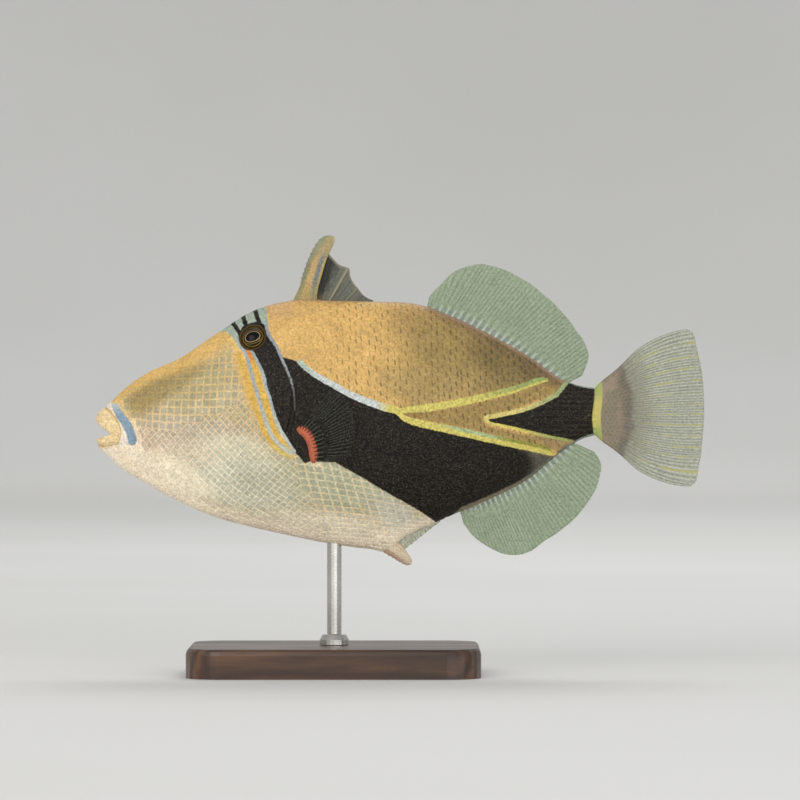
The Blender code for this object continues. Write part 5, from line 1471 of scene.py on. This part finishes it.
def ballShape(centre, out, radius, depth, wide=72, high=40):
    ahead = unit(np.array([1.0, 0.0, 0.0]) - out * out[0])
    up = unit(np.cross(ahead, out))
    up = up if up[2] > 0 else -up
    polar = np.linspace(0.02, math.pi - 0.02, high)
    turns = ringTurns(wide)
    ring = (ahead[None] * np.cos(turns)[:, None] + up[None] * np.sin(turns)[:, None])
    grid = (centre + ring[:, None] * (radius * np.sin(polar))[None, :, None]
            + out[None, None] * (depth * np.cos(polar))[None, :, None])
    spots = grid.reshape(-1, 3)
    quads = gridFaces(wide, high, closed=True)
    at = np.arange(wide * high).reshape(wide, high)
    after = np.roll(at, -1, axis=0)
    top, bottom = len(spots), len(spots) + 1
    spots = np.vstack([spots, centre + out * depth, centre - out * depth])
    caps = np.vstack([fan(after[:, 0], at[:, 0], top), fan(at[:, -1], after[:, -1], bottom)])
    off = spots - centre
    return spots, [quads, caps], np.stack([off @ ahead, off @ up, off @ out], -1)


def eyeMaterial():
    material, board, shader = newMaterial("wetEye", {"Coat Weight": 0.06, "Coat Roughness": 0.04,
                                                     "Specular IOR Level": 0.14})
    apart = board.parts(board.vector("iris"))
    x, z = board.minus(apart["X"], 0.25), board.plus(apart["Y"], 0.35)
    tip = math.radians(15)
    along = board.plus(board.times(x, math.cos(tip)), board.times(z, math.sin(tip)))
    up = board.minus(board.times(z, math.cos(tip)), board.times(x, math.sin(tip)))

    def farOut(a, b):
        return board.sum("SQRT", board.plus(board.sum("POWER", a, 2.0), board.sum("POWER", b, 2.0)))

    oval = farOut(board.sum("DIVIDE", along, 2.9), board.sum("DIVIDE", up, 2.0))
    circle = farOut(apart["X"], apart["Y"])
    streak = board.noise(board.vector("iris"), 2.6, 3.0, 0.7)
    iris = board.blend(board.spread(streak, 0.35, 0.7), paint(0.10, 0.065, 0.04), paint(0.24, 0.17, 0.08))

    def ring(distance, at, half, soft):
        return board.spread(board.gap(distance, at), half, half + soft, 1.0, 0.0)

    colour = board.blend(ring(circle, 4.2, 0.05, 0.16), iris, paint(0.50, 0.41, 0.19))
    colour = board.blend(ring(circle, 3.75, 0.1, 0.2), colour, paint(0.10, 0.06, 0.035))
    colour = board.blend(ring(oval, 1.42, 0.03, 0.07), colour, paint(0.46, 0.38, 0.17))
    colour = board.blend(ring(oval, 1.25, 0.03, 0.08), colour, paint(0.10, 0.06, 0.04))
    colour = board.blend(ring(oval, 1.07, 0.025, 0.05), colour, paint(0.72, 0.60, 0.42))
    colour = board.blend(board.spread(oval, 0.95, 1.02, 1.0, 0.0), colour, paint(0.035, 0.025, 0.025))
    dress(board, shader, colour, board.spread(streak, 0.2, 0.8, 0.12, 0.3, "LINEAR"))
    return material


def toothShape(angle):
    here = bodyPoint(-1.8, angle)
    near = bodyPoint(-1.8, angle + 0.05) - bodyPoint(-1.8, angle - 0.05)
    along = unit(np.array([near[0], near[1], 0.0])) * 0.62
    ahead = np.array([-0.4, 0.0, 0.0])
    bite = np.array([0.0, 0.0, -1.0 if math.cos(angle) > 0 else 1.0])
    length = 1.3 * abs(math.cos(angle)) ** 0.6
    rows, sides = 10, 16
    turns = ringTurns(sides)
    c, s = np.cos(turns), np.sin(turns)
    square = (np.abs(c) ** 4 + np.abs(s) ** 4) ** -0.25
    spots = []
    for k in range(rows):
        share = k / (rows - 1)
        reach = -0.8 + (length + 0.8) * share
        narrow = math.sqrt(max(0.0, 1 - max(0.0, (share - 0.82) / 0.18) ** 2)) * 0.9 + 0.1
        wide, deep = (1 - 0.18 * share) * narrow, (1 - 0.6 * share) * narrow
        spots += [here + bite * reach + along * (a * q) * wide + ahead * (b * q) * deep
                  for a, b, q in zip(c, s, square)]
    spots = np.array(spots)
    at, after, quads = ringGrid(rows, sides)
    low, high = len(spots), len(spots) + 1
    spots = np.vstack([spots, spots[:sides].mean(0), spots[-sides:].mean(0) + bite * 0.03])
    caps = np.vstack([fan(after[0], at[0], low), fan(at[-1], after[-1], high)])
    return spots, turnedOut(spots, [quads, caps], quads[5], spots[quads[5, 0]] - spots.mean(0))


def thornShape(x, z):
    here, out = flankSpot(x, z)
    ahead = np.array([-1.0, 0.0, 0.0])
    up = unit(np.cross(out, ahead))
    rows, sides = 7, 10
    turns = ringTurns(sides)
    spots = []
    for k in range(rows):
        share = k / (rows - 1)
        size = (1 - share) ** 0.8 + 0.04
        middle = here - out * 0.4 + out * (1.45 * share) + ahead * (1.35 * share**1.7)
        spots += [middle + ahead * math.cos(m) * 0.9 * size + up * math.sin(m) * 0.5 * size for m in turns]
    spots = np.array(spots)
    at, after, quads = ringGrid(rows, sides)
    spots = np.vstack([spots, spots[-sides:].mean(0)])
    faces = [quads, fan(at[-1], after[-1], len(spots) - 1)]
    return spots, turnedOut(spots, faces, quads[sides], spots[quads[sides, 0]] - (here + ahead * 0.2))


def scuteShape(x, z, seed):
    here, out = flankSpot(x, z)
    ahead = unit(np.array([1.0, 0.0, 0.0]) - out * out[0])
    up = unit(np.cross(ahead, out))
    up = up if up[2] > 0 else -up
    rows, sides = 14, 48
    turns = ringTurns(sides)
    six = 1 / np.maximum.reduce([np.cos(turns - k * math.pi / 3 - seed) for k in range(6)]) ** 0.6
    spots = []
    for k in range(rows):
        share = k / (rows - 1)
        lift = 0.34 * (1 - share**4) - 0.35 * share**6 + 0.05 * np.cos(turns * 12) * share * (1 - share) * 4
        lift = lift + 0.05 * math.cos(share * 30) * (1 - share**3)
        radius = 2.15 * (share + 0.02) * six
        ring = ahead[None] * np.cos(turns)[:, None] + up[None] * np.sin(turns)[:, None]
        spots.append(here + ring * radius[:, None] + out[None] * (lift - 0.05)[:, None])
    spots.append(spots[-1] - out[None] * 0.4)
    spots = np.concatenate(spots)
    at, after, quads = ringGrid(rows + 1, sides)
    spots = np.vstack([spots, here + out * 0.34])
    return spots, turnedOut(spots, [quads, fan(after[0], at[0], len(spots) - 1)], quads[0], out)


def toothMaterial():
    material, board, shader = newMaterial("ivoryTeeth", {"Coat Weight": 0.3})
    where = board.vector("spot")
    grain = board.noise(where, 1.6, 3.0)
    colour = board.blend(board.spread(grain, 0.35, 0.65), paint(0.93, 0.90, 0.80), paint(0.86, 0.80, 0.66))
    dress(board, shader, colour, board.spread(grain, 0.3, 0.7, 0.22, 0.35, "LINEAR"))
    return material


# Putting the fish together

sageFin = finMaterial("sageFin", {})


def tailColours(board, shader, colour, pattern):
    where = board.vector("spot")
    apart = board.parts(where)
    x, z = apart["X"], apart["Z"]
    both = board.times
    yellow = both(board.spread(pattern["First"], 0.86, 1.0), board.spread(board.field("reach"), 0.32, 0.5))
    edge = board.gap(board.field("across"), 0.5)
    yellow = both(yellow, board.spread(edge, 0.42, 0.48, 1.0, 0.0))
    patchy = board.spread(board.noise(where, 0.16, 2.0), 0.42, 0.56, 0.15, 0.8)
    colour = board.blend(both(yellow, patchy), colour, paint(0.70, 0.69, 0.42))
    bend = both(board.sum("POWER", board.sum("DIVIDE", board.minus(z, 8.5), 17.0), 2.0), 3.6)
    wobble = board.spread(board.noise(where, 0.35, 3.0), 0.2, 0.8, -1.6, 1.6, "LINEAR")
    line = board.plus(board.plus(x, bend), wobble)
    slope = both(z, 0.6)
    strayed = board.plus(x, board.spread(board.noise(where, 0.6, 2.0), 0.2, 0.8, -0.9, 0.9, "LINEAR"))
    lozenge = [board.spread(board.sum("COSINE", both(board.sum(way, strayed, slope), 3.3)), 0.3, 1.0)
               for way in ("ADD", "SUBTRACT")]
    base = board.blend(both(board.sum("MAXIMUM", *lozenge), 0.5), paint(0.49, 0.46, 0.385),
                       paint(0.60, 0.55, 0.46))
    pink = board.spread(board.noise(where, 0.16, 2.0), 0.48, 0.62, 0.0, 0.6)
    base = board.blend(pink, base, paint(0.62, 0.54, 0.47))
    # Painted shade: a dark crescent where the scaly base meets the rays, the base's rear part greyed and the
    # fin darkened just behind it
    base = board.blend(board.spread(line, 214.5, 219.5, 0.0, 0.5), base, paint(0.37, 0.375, 0.36))
    colour = board.blend(board.spread(line, 234.0, 219.0, 0.0, 0.65), colour, paint(0.50, 0.48, 0.41))
    colour = board.blend(board.spread(line, 222.5, 219.4), colour, base)
    curl = both(board.sum("SINE", both(z, 0.3)), 0.4)
    middle = board.spread(board.gap(z, 8.0), 3.0, 8.5)
    lemon = board.blend(middle, paint(0.77, 0.72, 0.41), paint(0.64, 0.67, 0.40))
    return board.blend(board.spread(board.plus(x, curl), 208.1, 207.5), colour, lemon)


tailRays = {"Bays": float(tailFin["rays"] - 1), "First Fork": tailForks[0], "Second Fork": tailForks[1]}
greyFin = finMaterial("greyTailFin", finTints(
    (0.62, 0.63, 0.57), (0.76, 0.77, 0.71), (0.49, 0.50, 0.46), (0.56, 0.52, 0.44),
    (0.50, 0.47, 0.39)), tailRays, tailColours)


def clearMembrane(board, shader, colour, pattern):
    reach = board.field("reach")
    rays = board.times(board.spread(pattern["Ray"], 0.5, 1.0), board.spread(reach, 0.55, 1.0, 0.75, 0.35))
    foot = board.spread(reach, 0.02, 0.12, 0.9, 0.06)
    board.feed(shader.inputs["Alpha"], board.sum("MAXIMUM", rays, foot))
    return board.blend(board.spread(reach, 0.14, 0.03), colour, paint(0.72, 0.36, 0.24))


clearFin = finMaterial("clearPectoral", finTints(
    (0.20, 0.21, 0.18), (0.31, 0.33, 0.29), (0.17, 0.17, 0.15), (0.40, 0.40, 0.36), (0.30, 0.30, 0.26)),
    {"Bays": float(pectoral["rays"] - 1), "First Fork": 0.25, "Second Fork": 2.0}, clearMembrane)


def lobeMaterial():
    material, board, shader = newMaterial("redLobe", {"Specular IOR Level": 0.25})
    grain = board.use(skinGrain, {"Fine": 1.6, "Slow": 0.4}).outputs
    mark = board.sum("COSINE", board.times(board.field("across"), fullTurn * 12))
    outer = board.spread(board.field("reach"), 0.0, 0.6)
    lines = board.times(board.spread(mark, -0.9, -0.2, 1.0, 0.0), outer)
    colour = board.blend(lines, paint(0.74, 0.40, 0.29), paint(0.34, 0.17, 0.12))
    roughness = board.spread(grain["Bumps"], 0.2, 0.8, 0.4, 0.6, "LINEAR")
    dress(board, shader, board.scale(colour, grain["Tone"]), roughness, grain["Bumps"])
    return material


def membraneColours(board, shader, colour, pattern):  # grey with two thin spines, black behind the first one
    across, reach = board.field("across"), board.field("reach")
    where = board.vector("spot")
    wobble = board.spread(board.noise(where, 0.4, 2.0), 0.2, 0.8, -0.05, 0.05, "LINEAR")
    dark = board.spread(board.plus(across, wobble), 0.12, 0.3, 0.85, 0.0)
    colour = board.blend(dark, colour, paint(0.09, 0.09, 0.08))
    colour = board.blend(board.spread(reach, 0.3, 0.05, 0.0, 0.5), colour, paint(0.48, 0.43, 0.34))
    for (at, size), strength in zip(spineFin["spines"], (0.9, 0.35)):
        off = board.gap(across, at)
        colour = board.blend(board.spread(off, 0.014, 0.03, strength, 0.0), colour, paint(0.60, 0.58, 0.48))
    return board.blend(board.spread(reach, 0.93, 0.98, 0.0, 0.8), colour, paint(0.55, 0.52, 0.44))


darkFin = finMaterial("darkSpineFin", finTints(
    (0.40, 0.41, 0.37), (0.43, 0.44, 0.40), (0.33, 0.33, 0.30), (0.45, 0.44, 0.38), (0.38, 0.38, 0.34)),
    {"Bays": 9.0, "First Fork": 0.1, "Second Fork": 2.0}, membraneColours)
flapFin = finMaterial("paleFlap", finTints(
    (0.68, 0.69, 0.62), (0.78, 0.78, 0.71), (0.57, 0.56, 0.49), (0.82, 0.77, 0.69), (0.72, 0.67, 0.60)),
    {"Bays": float(flap["rays"] - 1), "First Fork": 0.5, "Second Fork": 2.0})
boneFinish = spineMaterial("ochreSpine", ((0.08, paint(0.55, 0.55, 0.42)), (0.46, paint(0.77, 0.65, 0.44)),
                                          (0.78, paint(0.46, 0.50, 0.50)), (0.96, paint(0.78, 0.68, 0.42))),
                           paint(0.68, 0.61, 0.40), paint(0.58, 0.58, 0.47))
pelvicFinish = spineMaterial("paleSpine", ((0.1, paint(0.78, 0.66, 0.56)), (0.5, paint(0.84, 0.78, 0.68)),
                                           (0.9, paint(0.80, 0.72, 0.62))), paint(0.88, 0.82, 0.72),
                             paint(0.80, 0.70, 0.60))
eyeFinish, lobeFinish, toothFinish = eyeMaterial(), lobeMaterial(), toothMaterial()

scalePlates("cheekScales", "faceLattice", (8.0, 150.0, -64.0, 66.0), True, "head_skin", 11)
scalePlates("backScales", "backLattice", (58.0, 208.0, -50.0, 66.0), False, "trunk_skin", 12)

buildMedianFin("softDorsalSkin", softDorsal, body["topLine"], 1, sageFin, "soft_dorsal_fin", 21)
buildMedianFin("analSkin", analFin, body["bottomLine"], -1, sageFin, "anal_fin", 22)
buildTailFin(greyFin)
for side in (-1, 1):
    buildPectoral(side, clearFin, lobeFinish)
for name, (spots, faces, fields), finish, slot, node in (
        ("spineFinSkin", spineFinShape(), darkFin, "spine_membrane", "spiny_dorsal_fin"),
        ("pelvicFlapSkin", flapShape(), flapFin, "pelvic", "pelvic_flap"),
        ("triggerSpine", bladeShape(trigger), boneFinish, "spine", "dorsal_spine_first"),
        ("pelvicSpine", bladeShape(pelvic, 90), pelvicFinish, "pelvic", "pelvic_spine")):
    makePiece(name, spots, faces, finish, slot, fields, standsFor=(node,))
print("fins and spines made")

for side, word in ((-1, "left"), (1, "right")):
    eyeMiddle = eyeSpot - eyeOut * head["eyeSunk"]
    spots, faces, iris = ballShape(eyeMiddle, eyeOut, head["eyeRadius"], head["eyeDepth"])
    spots, faces = mirrorSide((spots, faces), side)
    makePiece("eyeBall" + word.title(), spots, faces, eyeFinish, "eye", {"iris": iris},
              standsFor=("eye_" + word,))
    thorns = [thornShape(184.0 + 2.35 * k, z + (7.6 - z) * 0.05 * k)
              for z in (12.6, 9.2, 5.9, 2.8) for k in range(8)]
    spots, faces = mirrorSide(joinShapes(thorns), side)
    makePiece("tailThorns" + word.title(), spots, faces, skinFinish, "tail_skin", markingFields(spots))
    plates = [scuteShape(x, z, 0.3 + 0.4 * k) for k, (x, z) in enumerate(scuteSpots())]
    spots, faces = mirrorSide(joinShapes(plates), side)
    makePiece("gillScutes" + word.title(), spots, faces, skinFinish, "trunk_skin", markingFields(spots))
places = [(k + 0.5) / 4 * math.radians(66) * side for side in (-1, 1) for k in range(4)]
spots, faces = joinShapes([toothShape(middle + place) for middle in (0, math.pi) for place in places])
makePiece("teeth", spots, faces, toothFinish, "head_skin")

# The stand


def walnutMaterial():
    material, board, shader = newMaterial("oiledWalnut", {"Coat Weight": 0.25, "Coat Roughness": 0.25})
    where = board.add("TexCoord").outputs["Object"]
    long = board.stretch(where, 9.0, 70.0, 70.0)
    figure = board.noise(long, 1.3, 4.0, 0.6)
    swirl = board.add("TexNoise", {"Vector": long, "Scale": 0.6}).outputs["Color"]
    bent = board.add("VectorMath", {0: long, 1: board.scale(swirl, 1.2)}).outputs[0]
    rings = board.add("TexWave", {"Vector": bent, "Scale": 0.9, "Distortion": 2.4, "Detail": 3.0},
                      bands_direction="Y").outputs["Fac"]
    pores = board.noise(board.stretch(where, 60.0, 1400.0, 1400.0), 1.0, 2.0)
    colour = board.blend(rings, paint(0.24, 0.15, 0.10), paint(0.40, 0.27, 0.18))
    colour = board.blend(board.spread(figure, 0.4, 0.75), colour, paint(0.19, 0.115, 0.075))
    colour = board.blend(board.spread(pores, 0.66, 0.74, 0.0, 0.7), colour, paint(0.11, 0.065, 0.045))
    dress(board, shader, colour, board.spread(figure, 0.3, 0.8, 0.3, 0.48, "LINEAR"), pores, 0.00006, 0.5)
    return material


def steelMaterial():
    material, board, shader = newMaterial("brushedSteel", {"Metallic": 1.0})
    where = board.add("TexCoord").outputs["Object"]
    brushed = board.noise(board.stretch(where, 120.0, 120.0, 4200.0), 1.0, 3.0)
    smudge = board.noise(where, 60.0, 2.0)
    colour = board.blend(board.spread(smudge, 0.35, 0.65), paint(0.72, 0.71, 0.69), paint(0.77, 0.765, 0.75))
    roughness = board.spread(brushed, 0.25, 0.75, 0.2, 0.38, "LINEAR")
    dress(board, shader, colour, roughness, brushed, 0.00003, 0.4)
    return material


walnut, steel = walnutMaterial(), steelMaterial()
for node, finish in (("stand_base", walnut), ("stand_ferrule", steel), ("stand_rod", steel)):
    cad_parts[node].data.materials.clear()
    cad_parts[node].data.materials.append(finish)

# The room, the light and the camera

room = {
    "floor": ((0.4, 0.0), (2.6, 0.0), (3.1, 0.06), (3.6, 0.28), (4.0, 0.72), (4.2, 1.3), (4.3, 2.2)),
    "rings": 61,
    "around": 96,
    "lights": (  # place, size, power, colour
        ((-1.3, -2.6, 1.3), 2.4, 35.0, (1.0, 0.975, 0.94)),
        ((1.3, -2.4, 0.3), 2.0, 26.0, (0.97, 0.985, 1.0)),
        ((0.6, 1.9, 2.4), 1.8, 26.0, (1.0, 1.0, 1.0)),
    ),
    "lightsAim": (0.02, 0.0, 0.1),
    "world": (0.93, 0.95, 0.97),
    "worldStrength": 0.6,
    "camera": (0.027, -2.0, 0.11275),
    "lens": 218.9,
}


def buildFloor():
    turns, keys = ringTurns(room["around"]), np.array(room["floor"])
    order = np.arange(len(keys))
    fine = smoothCurve(np.column_stack([order, keys]), np.linspace(0, order[-1], room["rings"]))
    away, height = fine[:, 0, None], np.maximum(fine[:, 1, None], 0)
    spots = stack(away * np.cos(turns), away * np.sin(turns), height).reshape(-1, 3)
    at, after, quads = ringGrid(room["rings"], room["around"])
    spots = np.vstack([spots, (0, 0, 0)])
    faces = quads[:, [0, 3, 2, 1]].tolist() + fan(at[0], after[0], len(spots) - 1)[:, [2, 0, 1]].tolist()
    mesh = bpy.data.meshes.new("paleFloor")
    mesh.from_pydata(spots.tolist(), [], faces)
    mesh.shade_smooth()
    material, board, shader = newMaterial("palePaper")
    where = board.add("TexCoord").outputs["Object"]
    drift = board.noise(where, 1.1, 3.0)
    colour = board.blend(board.spread(drift, 0.3, 0.7), paint(0.86, 0.855, 0.84), paint(0.89, 0.885, 0.875))
    dress(board, shader, colour, board.spread(drift, 0.3, 0.7, 0.75, 0.9, "LINEAR"))
    mesh.materials.append(material)
    floor = bpy.data.objects.new("paleFloor", mesh)
    bpy.context.scene.collection.objects.link(floor)


def buildLight():
    aim = Vector(room["lightsAim"])
    for k, (at, size, power, colour) in enumerate(room["lights"]):
        lamp = bpy.data.lights.new("softLight%d" % k, "AREA")
        lamp.shape, lamp.size, lamp.energy, lamp.color = "DISK", size, power, colour
        holder = bpy.data.objects.new("softLight%d" % k, lamp)
        holder.location = at
        holder.rotation_euler = (aim - Vector(at)).to_track_quat("-Z", "Y").to_euler()
        bpy.context.scene.collection.objects.link(holder)
    world = bpy.data.worlds.new("paleSky")
    world.use_nodes = True
    sky = world.node_tree.nodes["Background"]
    sky.inputs["Color"].default_value = (*room["world"], 1)
    sky.inputs["Strength"].default_value = room["worldStrength"]
    bpy.context.scene.world = world


def buildCamera():
    view = bpy.data.cameras.new("sideView")
    view.lens, view.sensor_width, view.clip_start = room["lens"], 36.0, 0.05
    holder = bpy.data.objects.new("sideView", view)
    holder.location = room["camera"]
    holder.rotation_euler = (math.pi / 2, 0.0, 0.0)
    bpy.context.scene.collection.objects.link(holder)
    bpy.context.scene.camera = holder
    bpy.context.scene.view_settings.view_transform = "Standard"


buildFloor()
buildLight()
buildCamera()
print("room, light and camera made")
